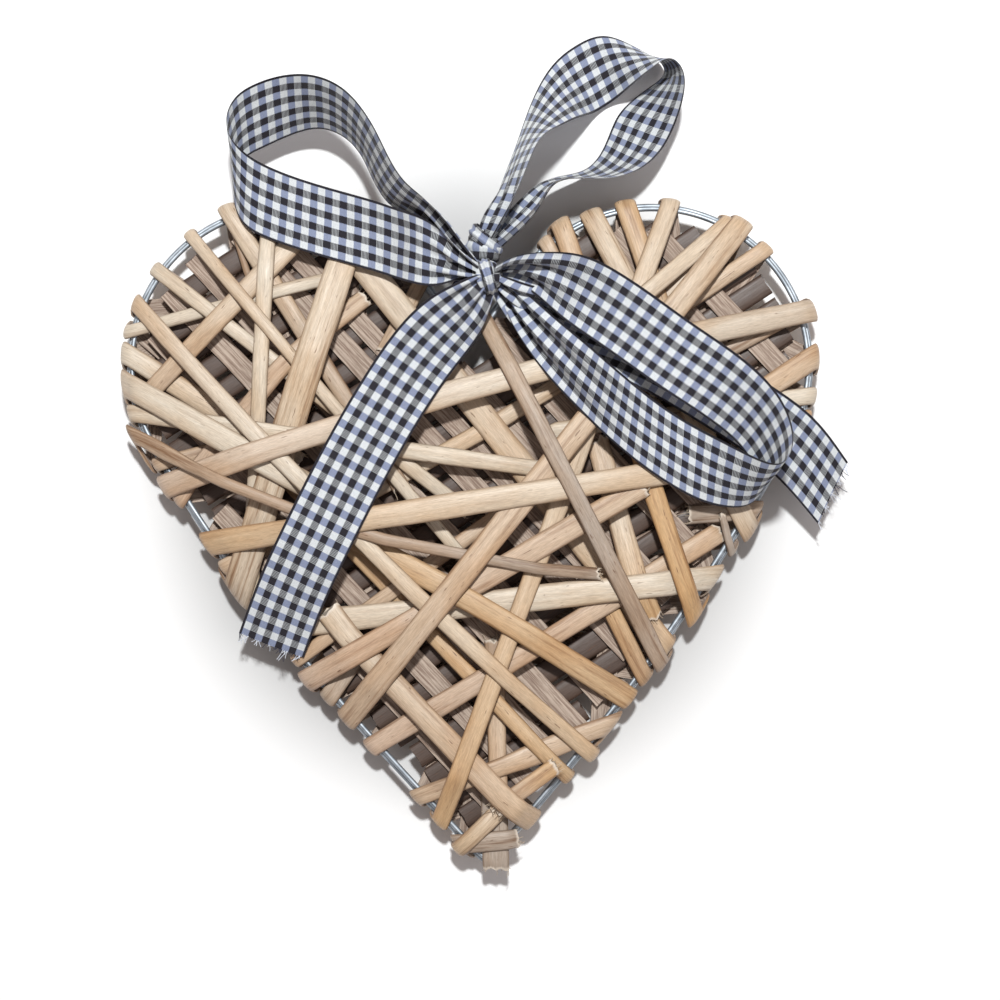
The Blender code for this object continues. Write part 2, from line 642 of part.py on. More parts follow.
def ribbon_edges(rows, steps):
    """Near and far edges of a run, the near one raised so that the true width is kept."""
    data = spline_rows(rows, steps)
    near, far = data[:, :2].copy(), data[:, 2:4].copy()
    full = ribbon_width * np.clip(data[:, 4], 0.2, 1.0)
    centre = (near + far) / 2
    apart = np.linalg.norm(near - far, axis=1)
    squeeze = np.minimum(1.0, full / apart)[:, None]
    near = centre + (near - centre) * squeeze
    far = centre + (far - centre) * squeeze
    rise = np.sqrt(np.maximum(full ** 2 - np.minimum(apart, full) ** 2, 0.0))
    travelled = np.concatenate([[0.0], np.cumsum(np.linalg.norm(np.diff(centre, axis=0),
                                                                axis=1))])
    support = np.zeros(len(data))
    for share in np.linspace(-0.04, 1.04, 25):
        for shift in (-0.5, -0.25, 0.0, 0.25, 0.5):
            ahead = np.roll(centre, -1, axis=0) - centre
            ahead[-1] = ahead[-2]
            i, j = grid_index(near + (far - near) * share + ahead * shift)
            support = np.maximum(support, top_map[i, j])
    support += ribbon_clearance + ribbon_thickness / 2
    fixed = data[:, 6] > 0.5
    level = np.where(fixed, data[:, 5], support)
    loose = ~fixed
    if loose.any():
        points = [(float(travelled[k]), float(level[k])) for k in range(len(data))]
        runs = []
        k = 0
        while k < len(data):
            if loose[k]:
                start = max(k - 1, 0)
                while k < len(data) and loose[k]:
                    k += 1
                runs.append((start, min(k, len(data) - 1)))
            else:
                k += 1
        for a, b in runs:
            hull = upper_hull(points[a:b + 1])
            hx = [h[0] for h in hull]
            hz = [h[1] for h in hull]
            level[a:b + 1] = np.interp(travelled[a:b + 1], hx, hz)
    near3 = np.column_stack([near, level + rise])
    far3 = np.column_stack([far, level])
    return near3, far3


def ribbon_rings(near, far, thickness):
    middle = (near + far) / 2
    rings = []
    for k in range(len(middle)):
        a = middle[max(k - 1, 0)]
        b = middle[min(k + 1, len(middle) - 1)]
        across = near[k] - far[k]
        normal = np.cross(across, b - a)
        normal /= np.linalg.norm(normal)
        half = normal * thickness / 2
        rings.append([near[k] + half, far[k] + half, far[k] - half, near[k] - half])
    return rings


def stamp_ribbon(near, far):
    for k in range(len(near) - 1):
        for t in np.linspace(0.0, 1.0, 12):
            n = near[k] * (1 - t) + near[k + 1] * t
            f = far[k] * (1 - t) + far[k + 1] * t
            shares = np.linspace(0.0, 1.0, 60)[:, None]
            points = n + (f - n) * shares
            stamp(top_map, points[:, :2], points[:, 2] + ribbon_thickness)


def knot_body(name, centre, level, size, material):
    mesh = bpy.data.meshes.new(name)
    columns, rows = 12, 7
    vertices = []
    for r in range(1, rows):
        lift = math.pi * r / rows
        for c in range(columns):
            turn = 2 * math.pi * c / columns
            x = math.copysign(abs(math.sin(lift) * math.cos(turn)) ** 0.8, math.cos(turn))
            y = math.copysign(abs(math.sin(lift) * math.sin(turn)) ** 0.8, math.sin(turn))
            vertices.append((x, y, math.cos(lift)))
    vertices += [(0, 0, 1), (0, 0, -1)]
    faces = []
    for r in range(rows - 2):
        for c in range(columns):
            n = (c + 1) % columns
            faces.append((r * columns + c, (r + 1) * columns + c, (r + 1) * columns + n,
                          r * columns + n))
    top, bottom = len(vertices) - 2, len(vertices) - 1
    last = (rows - 2) * columns
    for c in range(columns):
        n = (c + 1) % columns
        faces.append((top, c, n))
        faces.append((bottom, last + n, last + c))
    place = plan_point(*centre)
    placed = [(place[0] + x * size[0] / 2, place[1] + y * size[1] / 2, level + z * size[2] / 2)
              for x, y, z in vertices]
    mesh.from_pydata(placed, [], faces)
    face_outward(mesh)
    obj = bpy.data.objects.new(name, mesh)
    bpy.context.scene.collection.objects.link(obj)
    obj.data.materials.append(material)
    return obj


def joined(name, bodies):
    """One closed solid from bodies that run into each other."""
    base = bodies[0]
    for other in bodies[1:]:
        union = base.modifiers.new("join", "BOOLEAN")
        union.operation = "UNION"
        union.solver = "EXACT"
        union.object = other
        bpy.context.view_layer.update()
        evaluated = base.evaluated_get(bpy.context.evaluated_depsgraph_get())
        mesh = bpy.data.meshes.new_from_object(evaluated)
        base.modifiers.remove(union)
        base.data = mesh
        face_outward(mesh, split=True)
    for other in bodies[1:]:
        bpy.data.objects.remove(other, do_unlink=True)
    base.name = name
    base.data.name = name
    return base


cloth = plain_material("gingham_ribbon_hanging", (0.30, 0.33, 0.45), 0.8)
cloth_bow = plain_material("gingham_ribbon_bow", (0.36, 0.39, 0.52), 0.8)
CAD_STEPS = 2


def ribbon_body(name, rows, material):
    near, far = ribbon_edges(rows, CAD_STEPS)
    stamp_ribbon(near, far)
    body = build_sweep(name, ribbon_rings(near, far, ribbon_thickness), material)
    face_outward(body.data, split=True)
    return body


tie = ribbon_body("tie", TIE_BAND, cloth)
loop = ribbon_body("loop", HANGING_LOOP, cloth)
top_knot = knot_body("knot_top", KNOT_TOP, 0.007, (0.0100, 0.0114, knot_height), cloth)
hanging = joined("ribbon_hanging", [top_knot, loop, tie])
right_tail = ribbon_body("right_tail", RIGHT_TAIL, cloth_bow)
left_tail = ribbon_body("left_tail", LEFT_TAIL, cloth_bow)
right_loop = ribbon_body("right_loop", RIGHT_LOOP, cloth_bow)
left_loop = ribbon_body("left_loop", LEFT_LOOP, cloth_bow)
bow_knot = knot_body("knot_bow", KNOT_BOW, 0.0126, (knot_length, 0.0086, 0.0100), cloth_bow)
bow = joined("ribbon_bow", [bow_knot, right_tail, left_tail, right_loop, left_loop])

corners = np.array([v.co for o in bpy.data.objects for v in o.data.vertices])
low, high = corners.min(axis=0), corners.max(axis=0)
origin_shift = (-(low[0] + high[0]) / 2, -(low[1] + high[1]) / 2, -low[2])
for obj in bpy.data.objects:
    extent = np.array([v.co for v in obj.data.vertices])
    middle = (extent.min(axis=0) + extent.max(axis=0)) / 2
    for vertex in obj.data.vertices:
        vertex.co = (vertex.co.x - middle[0], vertex.co.y - middle[1], vertex.co.z - middle[2])
    obj.location = (middle[0] + origin_shift[0], middle[1] + origin_shift[1],
                    middle[2] + origin_shift[2])
bpy.context.view_layer.update()

triangles = 0
for obj in bpy.data.objects:
    obj.data.calc_loop_triangles()
    triangles += len(obj.data.loop_triangles)
heights = [(o.matrix_world @ v.co).z for o in bpy.data.objects for v in o.data.vertices]
print("objects", len(bpy.data.objects), "triangles", triangles,
      "height", round(min(heights) * 1000, 2), round(max(heights) * 1000, 2),
      "shift", [round(v * 1000, 3) for v in origin_shift])
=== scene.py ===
# %% [markdown]
# # A woven willow heart with a gingham bow
# The real thing is a heart of two thin wires, with split willow strips folded over
# the wires from edge to edge until they make a springy mat. A checked cotton ribbon is
# tied round the wires at the cleft: first a knot with a loop to hang it by, then a bow.
# This lesson builds the strips, the wires and the ribbon in the order in which the maker
# would lay them, so that every strip rests on those under it.

# %% Load the frame
import math

import bmesh
import bpy
import numpy as np
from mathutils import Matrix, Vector


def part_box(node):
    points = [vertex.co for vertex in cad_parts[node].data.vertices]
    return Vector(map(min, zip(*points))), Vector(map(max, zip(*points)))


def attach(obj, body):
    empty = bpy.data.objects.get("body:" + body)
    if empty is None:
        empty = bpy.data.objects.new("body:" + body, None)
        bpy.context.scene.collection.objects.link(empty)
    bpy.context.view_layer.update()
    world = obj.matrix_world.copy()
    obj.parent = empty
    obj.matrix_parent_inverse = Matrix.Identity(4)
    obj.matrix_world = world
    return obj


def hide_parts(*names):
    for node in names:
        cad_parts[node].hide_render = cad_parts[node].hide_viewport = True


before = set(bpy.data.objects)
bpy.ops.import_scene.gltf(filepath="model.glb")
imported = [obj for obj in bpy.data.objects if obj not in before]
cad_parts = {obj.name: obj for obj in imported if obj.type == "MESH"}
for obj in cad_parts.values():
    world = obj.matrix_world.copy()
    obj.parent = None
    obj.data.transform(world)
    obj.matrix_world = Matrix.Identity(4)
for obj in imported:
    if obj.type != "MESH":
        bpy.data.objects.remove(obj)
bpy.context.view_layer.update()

# %% [markdown]
# ## Two small tools
# Every piece below becomes an object of the scene, and most of them are rows of points with
# four-sided faces between the rows.

# %% Tools for pieces
def placed_object(name, data):
    obj = bpy.data.objects.new(name, data)
    bpy.context.scene.collection.objects.link(obj)
    return obj


def quads(rows, columns, closed=False):
    """Faces between neighbouring rows of points, round each row when it is closed."""
    faces = []
    for r in range(rows - 1):
        for c in range(columns if closed else columns - 1):
            n = (c + 1) % columns
            faces.append((r * columns + c, r * columns + n, (r + 1) * columns + n,
                          (r + 1) * columns + c))
    return faces


def lengths_along(points):
    """How far each point lies along the line through all of them."""
    return np.concatenate([[0.0], np.cumsum(np.linalg.norm(np.diff(points, axis=0), axis=1))])


def unit_rows(rows):
    return rows / np.linalg.norm(rows, axis=1)[:, None]


print("two rows of three points have", len(quads(2, 3)), "faces between them")

# %% [markdown]
# ## Sizes
# A maker's notes come first: the outline of the heart, the wire, the strips and the ribbon.
# All of them are in metres. Places on the heart were read off a drawing, in drawing units,
# so one number turns those units into metres.

# %% Sizes of the heart
lobe_radius = 0.0430
lobe_spacing = 0.1000
lobe_height = 0.0484
cleft_height = 0.0540
flank_start_angle = math.radians(-30)
tip_depth = 0.0880
tip_lean = 0.0047
wire_diameter = 0.0014
wire_pair_stagger = 0.0009
strip_thickness = 0.0011
strip_clearance = 0.00014
fold_clearance = 0.00032
side_gap = 0.0005
ribbon_width = 0.0190
ribbon_thickness = 0.0006
ribbon_clearance = 0.0005
knot_height = 0.0085
drawing_unit = 0.000275

GRID_STEP = 0.0005
GRID_MIN_X = -0.105
GRID_MIN_Y = -0.105
GRID_COUNT_X = 430
GRID_COUNT_Y = 420

FOLD = "fold"
CUT = "cut"

# %% [markdown]
# ## The strips, bottom of the pile first
# Each row is one strip: two points of its middle line in drawing units, how far it bows
# sideways, its width, how each end is held, and how much of the way across the back its
# folded ends are carried. A strip that is listed later lies on those before it.

# %% The strips in laying order
STRIP_ROWS = [
    ("tip_end", 496, 867, 494, 790, 0, 26, CUT, CUT, 0, 0),
    ("tip_band", 466, 842, 515, 838, 0, 20, FOLD, CUT, 0.3, 0),
    ("tip_cross", 459, 846, 504, 805, 0, 18, FOLD, CUT, 0.3, 0),
    ("lower_upright", 494, 640, 499, 808, 0, 19, CUT, CUT, 0, 0),
    ("low_crossing", 422, 795, 565, 741, 0, 18, FOLD, FOLD, 0.6, 0.2),
    ("left_stub", 149, 466, 290, 431, 0, 15, FOLD, CUT, 0.5, 0),
    ("left_low_stub", 328, 698, 362, 648, 0, 20, FOLD, CUT, 0.8, 0),
    ("mid_diagonal", 285, 478, 566, 777, 0, 16, CUT, FOLD, 0, 0.6),
    ("right_low_stub", 497, 806, 554, 764, 0, 18, CUT, CUT, 0, 0),
    ("left_rise", 298, 657, 515, 503, 0, 15, FOLD, CUT, 0.5, 0),
    ("long_rise", 212, 575, 767, 249, -13, 17, FOLD, FOLD, 0.5, 0.2),
    ("right_arm_low", 650, 393, 792, 317, 0, 15, CUT, FOLD, 0, 0.5),
    ("right_arm_high", 640, 317, 722, 250, 0, 14, CUT, CUT, 0, 0),
    ("rounded_end", 818, 395, 546, 432, 0, 17, FOLD, CUT, 0.85, 0),
    ("right_lobe_drop", 625, 203, 700, 430, 0, 21, FOLD, CUT, 0.5, 0),
    ("cleft_drop", 546, 240, 622, 400, 0, 15, FOLD, CUT, 0.3, 0),
    ("lobe_sliver", 229, 210, 256, 300, 0, 7, FOLD, CUT, 0.3, 0),
    ("lobe_diagonal", 227, 206, 402, 488, 0, 18, FOLD, CUT, 0.5, 0),
    ("left_brace", 131, 331, 345, 275, 0, 13, FOLD, CUT, 0.8, 0),
    ("left_fan_1", 156, 269, 468, 512, 0, 15, FOLD, CUT, 0.5, 0),
    ("left_fan_wide", 127, 353, 300, 463, 0, 21, FOLD, CUT, 0.7, 0),
    ("left_return", 165, 512, 365, 298, 12, 19, FOLD, CUT, 0.5, 0),
    ("lobe_cross", 150, 394, 320, 218, 0, 20, CUT, FOLD, 0, 0.2),
    ("lobe_upright", 272, 212, 250, 597, 0, 16, FOLD, FOLD, 0.5, 0.2),
    ("left_fan_2", 190, 233, 470, 565, 0, 13, FOLD, CUT, 0.5, 0),
    ("cleft_left_stub", 413, 300, 384, 352, 0, 16, FOLD, CUT, 0.4, 0),
    ("centre_diagonal", 352, 250, 666, 650, 0, 26, FOLD, FOLD, 0.2, 0.5),
    ("right_foot", 600, 588, 647, 684, 0, 18, CUT, FOLD, 0, 0.5),
    ("low_rise", 368, 748, 718, 533, 0, 21, FOLD, CUT, 0.5, 0),
    ("right_prop", 597, 440, 651, 618, -6, 23, CUT, CUT, 0, 0),
    ("low_level", 744, 575, 270, 626, 0, 25, FOLD, FOLD, 0.5, 0.2),
    ("right_short", 789, 508, 690, 515, 0, 18, FOLD, CUT, 0.6, 0),
    ("right_arm_wide", 817, 356, 690, 437, 0, 22, FOLD, CUT, 0.5, 0),
    ("right_edge_piece", 813, 415, 750, 421, 0, 12, FOLD, CUT, 0.4, 0),
    ("right_sliver", 721, 515, 732, 562, 0, 7, CUT, FOLD, 0, 0.3),
    ("right_lobe_long", 591, 213, 760, 552, 0, 22, FOLD, FOLD, 0.2, 0.5),
    ("low_diagonal", 330, 610, 532, 822, -8, 24, CUT, FOLD, 0, 0.4),
    ("high_to_low", 671, 203, 441, 817, 0, 19, FOLD, FOLD, 0.5, 0.2),
    ("right_inner_drop", 562, 226, 697, 627, 0, 20, FOLD, FOLD, 0.2, 0.5),
    ("left_low_rise", 308, 680, 640, 487, 0, 23, FOLD, CUT, 0.5, 0),
    ("low_right_run", 330, 525, 632, 702, 6, 23, CUT, FOLD, 0, 0.5),
    ("broad_upright", 355, 232, 233, 606, 0, 30, FOLD, FOLD, 0.2, 0.5),
    ("left_level", 127, 412, 538, 469, 0, 17, FOLD, CUT, 0.5, 0),
    ("left_broad", 126, 384, 330, 497, 0, 24, FOLD, CUT, 0.3, 0),
    ("long_fall", 137, 303, 590, 755, -9, 17, FOLD, FOLD, 0.5, 0.2),
    ("right_lobe_arm", 731, 222, 636, 303, 0, 18, FOLD, CUT, 0.5, 0),
    ("upper_level", 155, 487, 808, 312, 13, 24, FOLD, FOLD, 0.2, 0.5),
    ("curved_run", 158, 446, 598, 573, -26, 12, FOLD, CUT, 0.5, 0),
    ("great_rise", 352, 712, 742, 226, 0, 24, FOLD, FOLD, 0.5, 0.2),
    ("middle_level", 191, 545, 800, 452, 0, 24, FOLD, FOLD, 0.2, 0.5),
    ("great_fall", 489, 328, 662, 668, 0, 17, FOLD, FOLD, 0.2, 0.28),
]
DRAWING_CENTRE = (470.0, 541.0)
drawn_half_width = 0.0930
drawn_top = 0.0914
drawn_depth = 0.0880
print(len(STRIP_ROWS), "strips")

# %% [markdown]
# ## The outline of the heart
# The wire was bent round two pegs for the lobes and pulled to a point at the tip. Two arcs
# and two long curves say the same. The points are spread evenly, because everything that
# follows counts in steps along the wire.

# %% Curves in plan
def plan_point(x, y):
    """A place in the drawing, moved with the outline when the outline's sizes change."""
    across = (x - DRAWING_CENTRE[0]) * drawing_unit
    up = (DRAWING_CENTRE[1] - y) * drawing_unit
    across *= (lobe_spacing / 2 + lobe_radius) / drawn_half_width
    up *= (lobe_height + lobe_radius) / drawn_top if up > 0 else tip_depth / drawn_depth
    return np.array([across, up])


def bezier(p0, p1, p2, p3, count):
    t = np.linspace(0.0, 1.0, count)[:, None]
    return (p0 * (1 - t) ** 3 + 3 * p1 * t * (1 - t) ** 2
            + 3 * p2 * t ** 2 * (1 - t) + p3 * t ** 3)


def arc(centre, radius, start, stop, count):
    angles = np.linspace(start, stop, count)
    return np.stack([centre[0] + radius * np.cos(angles),
                     centre[1] + radius * np.sin(angles)], axis=1)


def even_spacing(points, step):
    closed = np.vstack([points, points[:1]])
    travelled = lengths_along(closed)
    count = int(round(travelled[-1] / step))
    wanted = np.linspace(0.0, travelled[-1], count, endpoint=False)
    return np.stack([np.interp(wanted, travelled, closed[:, k]) for k in range(2)], axis=1)


def rounded(points, reach):
    kernel = np.exp(-0.5 * (np.arange(-reach * 3, reach * 3 + 1) / reach) ** 2)
    kernel /= kernel.sum()
    half = reach * 3
    padded = np.vstack([points[-half:], points, points[:half]])
    return np.stack([np.convolve(padded[:, k], kernel, mode="valid") for k in range(2)], axis=1)

# %% The heart as one closed line
lobe_points, flank_points = 120, 160
flank_pull, tip_pull = 0.34, 0.40
into_tip = np.array([-0.66, -0.75])
away_tip = np.array([-0.69, 0.725])
cleft_ease = 0.0018


def heart_outline(step):
    right = np.array([lobe_spacing / 2, lobe_height])
    left = np.array([-lobe_spacing / 2, lobe_height])
    cleft = np.array([0.0, cleft_height])
    tip = np.array([tip_lean, -tip_depth])
    to_cleft = cleft - right
    distance = np.linalg.norm(to_cleft)
    tangent_angle = math.atan2(to_cleft[1], to_cleft[0]) - math.acos(lobe_radius / distance)
    flank = flank_start_angle
    lobe_right = arc(right, lobe_radius, tangent_angle, flank, lobe_points)
    mirrored = arc(left, lobe_radius, math.pi - flank, math.pi - tangent_angle, lobe_points)
    start = lobe_right[-1]
    end = mirrored[0]
    reach = np.linalg.norm(tip - start)
    out_dir = np.array([math.sin(flank), -math.cos(flank)])
    flank_right = bezier(start, start + out_dir * reach * flank_pull,
                         tip - into_tip * reach * tip_pull, tip, flank_points)
    flank_left = bezier(tip, tip + away_tip * reach * tip_pull,
                        end - np.array([out_dir[0], -out_dir[1]]) * reach * flank_pull, end,
                        flank_points)
    points = np.vstack([cleft[None], lobe_right, flank_right[1:], flank_left[1:],
                        mirrored[1:]])
    return rounded(even_spacing(points, step), max(1, int(cleft_ease / step)))


FRAME_STEP = 0.0005
frame_line = heart_outline(FRAME_STEP)
frame_count = len(frame_line)
frame_tangent = unit_rows(np.roll(frame_line, -1, axis=0) - np.roll(frame_line, 1, axis=0))
frame_outward = np.stack([-frame_tangent[:, 1], frame_tangent[:, 0]], axis=1)
fold_line = frame_line + frame_outward * wire_pair_stagger / 2
print("wire length", round(frame_count * FRAME_STEP * 1000), "mm")

# %% [markdown]
# ## Keeping count of the pile
# Laying fifty strips by hand would mean guessing each height. Instead two height maps, one
# for the front and one for the back, remember the top of the pile at every half millimetre.
# A third list remembers how far the folds already reach round the wire.

# %% Height maps
wire_spacing = wire_diameter + 0.0003
wire_rise = 0.5 * math.sqrt(max(wire_spacing ** 2 - wire_pair_stagger ** 2, 1e-8))
pair_reach = math.hypot(wire_pair_stagger / 2, wire_rise) + wire_diameter / 2
fold_reach = np.full(frame_count, pair_reach)
top_map = np.full((GRID_COUNT_X, GRID_COUNT_Y), -1.0)
under_map = np.full((GRID_COUNT_X, GRID_COUNT_Y), -1.0)


def grid_index(points):
    i = np.floor((points[..., 0] - GRID_MIN_X) / GRID_STEP).astype(int)
    j = np.floor((points[..., 1] - GRID_MIN_Y) / GRID_STEP).astype(int)
    return np.clip(i, 0, GRID_COUNT_X - 1), np.clip(j, 0, GRID_COUNT_Y - 1)


def stamp(height_map, points, heights):
    for dx in (-GRID_STEP * 0.5, GRID_STEP * 0.5):
        for dy in (-GRID_STEP * 0.5, GRID_STEP * 0.5):
            i, j = grid_index(points + np.array([dx, dy]))
            np.maximum.at(height_map, (i, j), heights)


wire_band = 0.002
for across in np.linspace(-0.5, 0.5, 5):
    for height_map in (top_map, under_map):
        stamp(height_map, fold_line + frame_outward * across * wire_band,
              np.full(frame_count, pair_reach))

# %% Where a line meets the wire
crossing_slack = 0.004
least_facing = 0.05


def frame_crossing(point, direction):
    """Where a line from a point inside leaves the frame: frame index and distance."""
    offset = fold_line - point
    along = offset @ direction
    side = offset[:, 0] * direction[1] - offset[:, 1] * direction[0]
    nxt = np.roll(side, -1)
    crossing = np.nonzero((side * nxt <= 0) & (along > -crossing_slack))[0]
    best = None
    for k in crossing:
        if np.roll(along, -1)[k] < -crossing_slack:
            continue
        if frame_outward[k] @ direction <= least_facing:
            continue
        if best is None or along[k] < along[best]:
            best = k
    return best, (along[best] if best is not None else 0.0)

# %% [markdown]
# ## A strip pulled tight
# Under tension a strip takes the shortest way over what is under it. Seen from the side,
# that is the upper hull of the heights below it, with a quarter turn round the wire at each
# fold.

# %% A taut path over the pile
def upper_hull(points):
    hull = []
    for p in sorted(points):
        while len(hull) >= 2:
            (x1, y1), (x2, y2) = hull[-2], hull[-1]
            if (x2 - x1) * (p[1] - y1) - (y2 - y1) * (p[0] - x1) >= 0:
                hull.pop()
            else:
                break
        hull.append(p)
    return hull


def thinned(points, tolerance):
    """Leave out points that lie on the straight line between those that are kept."""
    kept = [0]
    last = len(points) - 1
    while kept[-1] < last:
        a = kept[-1]
        b = last
        while b > a + 1:
            pa, pb = np.array(points[a]), np.array(points[b])
            chord = pb - pa
            length = np.linalg.norm(chord)
            worst = 0.0
            for k in range(a + 1, b):
                rel = np.array(points[k]) - pa
                worst = max(worst, abs(chord[0] * rel[1] - chord[1] * rel[0]) / length)
            if worst <= tolerance:
                break
            b -= 1
        kept.append(b)
    return [points[k] for k in kept]


def plan_curve(p0, p1, bow, count):
    t = np.linspace(0.0, 1.0, count)[:, None]
    chord = p1 - p0
    side = np.array([-chord[1], chord[0]]) / np.linalg.norm(chord)
    return p0 + chord * t + side * bow * 4 * t * (1 - t)

# %% One face of a strip
probe_margin = 0.0002
probe_step = 0.0004
least_rest = 0.0010
fold_points = 5
path_tolerance = 0.00005


class Leg:
    """A run of strip on one face: plan curve, travelled length and support heights."""

    def __init__(self, curve, half_width, height_map, holds, bowed):
        self.curve = curve
        self.bowed = bowed
        self.s = lengths_along(curve)
        self.length = self.s[-1]
        self.tangent = unit_rows(np.gradient(curve, axis=0))
        self.holds = holds
        side = np.stack([-self.tangent[:, 1], self.tangent[:, 0]], axis=1)
        offsets = np.arange(-half_width - probe_margin, half_width + probe_margin + 0.0001, probe_step)
        support = np.full(len(curve), -1.0)
        for o in offsets:
            i, j = grid_index(curve + side * o)
            support = np.maximum(support, height_map[i, j])
        self.support = support

    def path(self):
        points = [(float(s), float(z) + strip_clearance)
                  for s, z in zip(self.s, self.support) if z > 0]
        for which, hold in enumerate(self.holds):
            base = 0.0 if which == 0 else self.length
            sign = -1.0 if which == 0 else 1.0
            if hold is None:
                k = 0 if which == 0 else -1
                rest = max(float(self.support[k]) + strip_clearance, least_rest)
                points.append((base, rest))
                continue
            radius, slant = hold
            for a in np.linspace(0.0, 90.0, fold_points):
                angle = math.radians(a)
                points.append((base + sign * radius / slant * math.cos(angle),
                               radius * math.sin(angle)))
        return thinned(upper_hull(points), path_tolerance)

    def at(self, s):
        inside = min(max(s, 0.0), self.length)
        x = np.interp(inside, self.s, self.curve[:, 0])
        y = np.interp(inside, self.s, self.curve[:, 1])
        tx = np.interp(inside, self.s, self.tangent[:, 0])
        ty = np.interp(inside, self.s, self.tangent[:, 1])
        t = np.array([tx, ty]) / math.hypot(tx, ty)
        return np.array([x, y]) + t * (s - inside), t

# %% Direction across a strip
bowed_step = 0.045
least_spread = 0.35
turn_start, turn_length = 0.4, 1.6


def footprint(index, half_length):
    count = int(round(half_length / FRAME_STEP))
    return [(index + k) % frame_count for k in range(-count, count + 1)]


def cross_direction(direction, fold_tangent, distance, width):
    """Across the strip: along the wire at a fold, square to the strip away from it."""
    square = np.array([-direction[1], direction[0]])
    if fold_tangent is None:
        return square
    along_wire = fold_tangent if fold_tangent @ square > 0 else -fold_tangent
    share = min(max((distance - turn_start * width) / (turn_length * width), 0.0), 1.0)
    mixed = along_wire * (1 - share) + square * share
    return mixed / np.linalg.norm(mixed)


def leg_stations(leg, path, width, ends, upside):
    """Stations of one leg as (inner point, across, half length), upside is +1 or -1."""
    long_path = []
    for (s0, z0), (s1, z1) in zip(path, path[1:]):
        pieces = max(1, int((s1 - s0) / bowed_step)) if leg.bowed else 1
        for k in range(pieces):
            long_path.append((s0 + (s1 - s0) * k / pieces, z0 + (z1 - z0) * k / pieces))
    long_path.append(path[-1])
    stations = []
    for s, z in long_path:
        point, direction = leg.at(s)
        left = leg.length - s
        if ends[0] is not None and (ends[1] is None or s <= left):
            across = cross_direction(direction, ends[0], s, width)
        elif ends[1] is not None:
            across = cross_direction(direction, ends[1], left, width)
        else:
            across = cross_direction(direction, None, 0, width)
        spread = abs(across[0] * direction[1] - across[1] * direction[0])
        stations.append((np.array([point[0], point[1], upside * z]), across,
                         width / 2 / max(spread, least_spread)))
    return stations

# %% Writing a strip into the height map
stamp_step = 0.0003
least_turn = 0.85


def stamp_leg(height_map, stations, normals):
    for (a, na), (b, nb) in zip(zip(stations, normals), zip(stations[1:], normals[1:])):
        length = np.linalg.norm(b[0][:2] - a[0][:2])
        count = max(2, int(length / stamp_step))
        for t in np.linspace(0.0, 1.0, count):
            inner = a[0] * (1 - t) + b[0] * t
            outer = inner + (na * (1 - t) + nb * t) * strip_thickness
            across = a[1] * (1 - t) + b[1] * t
            half = a[2] * (1 - t) + b[2] * t
            offsets = np.arange(-half, half + stamp_step, stamp_step)[:, None] * across
            for level in (inner, outer):
                stamp(height_map, level[:2] + offsets,
                      np.full(len(offsets), abs(outer[2]) if level is outer
                              else abs(inner[2])))


def station_normals(stations):
    points = np.array([s[0] for s in stations])
    tangents = np.empty_like(points)
    for k in range(len(points)):
        before = points[k] - points[k - 1] if k > 0 else None
        after = points[k + 1] - points[k] if k + 1 < len(points) else None
        if before is None:
            t = after
        elif after is None:
            t = before
        else:
            t = before / np.linalg.norm(before) + after / np.linalg.norm(after)
        tangents[k] = t / np.linalg.norm(t)
    normals = []
    for k, station in enumerate(stations):
        across = np.array([station[1][0], station[1][1], 0.0])
        n = np.cross(tangents[k], across)
        n /= np.linalg.norm(n)
        stretch = 1.0
        if 0 < k < len(points) - 1:
            before = points[k] - points[k - 1]
            before /= np.linalg.norm(before)
            stretch = 1.0 / max(least_turn, min(1.0, float(before @ tangents[k])))
        normals.append(n * stretch)
    return normals

# %% [markdown]
# ### Laying a strip in four steps
# First its held ends are moved onto the wire. Then each fold is given a radius that clears
# the folds already there. Behind the wire the strip goes on mirrored, as light leaves a
# mirror. Last, the pile's maps are told what now lies on them.

# %% Where a strip meets the wire, and how far its folds reach
least_bow = 0.0008
curve_step = 0.0006
inside_step = 0.010
behind_step = 0.008
least_back = 0.007
least_back_share = 0.36
back_margin = 0.009
least_slant = 0.5
touching = 0.0008


def fold_places(p0, p1, holds):
    """Frame index of each held end, and both ends moved onto the wire."""
    ends = [p0, p1]
    direction = (p1 - p0) / np.linalg.norm(p1 - p0)
    middle = (p0 + p1) / 2
    folds = [None, None]
    for which, outward in enumerate((-direction, direction)):
        if holds[which] != FOLD:
            continue
        place = ends[which]
        index, _ = frame_crossing(place - outward * inside_step, outward)
        if index is None:
            index, _ = frame_crossing(middle, outward)
        if index is None:
            index = int(np.argmin(np.linalg.norm(fold_line - place, axis=1)))
        folds[which] = index
        ends[which] = fold_line[index]
    return folds, ends


def end_direction(curve, which):
    """The strip's direction at one end, away from that end."""
    near = curve[1] - curve[0] if which == 0 else curve[-2] - curve[-1]
    return near / np.linalg.norm(near)


def fold_hold(curve, which, index, width):
    """Radius of a fold above everything already folded there, and its slant."""
    slant = max(least_slant, abs(end_direction(curve, which) @ frame_outward[index]))
    cover = footprint(index, width / 2 / slant + side_gap)
    return float(max(fold_reach[k] for k in cover)) + fold_clearance, slant

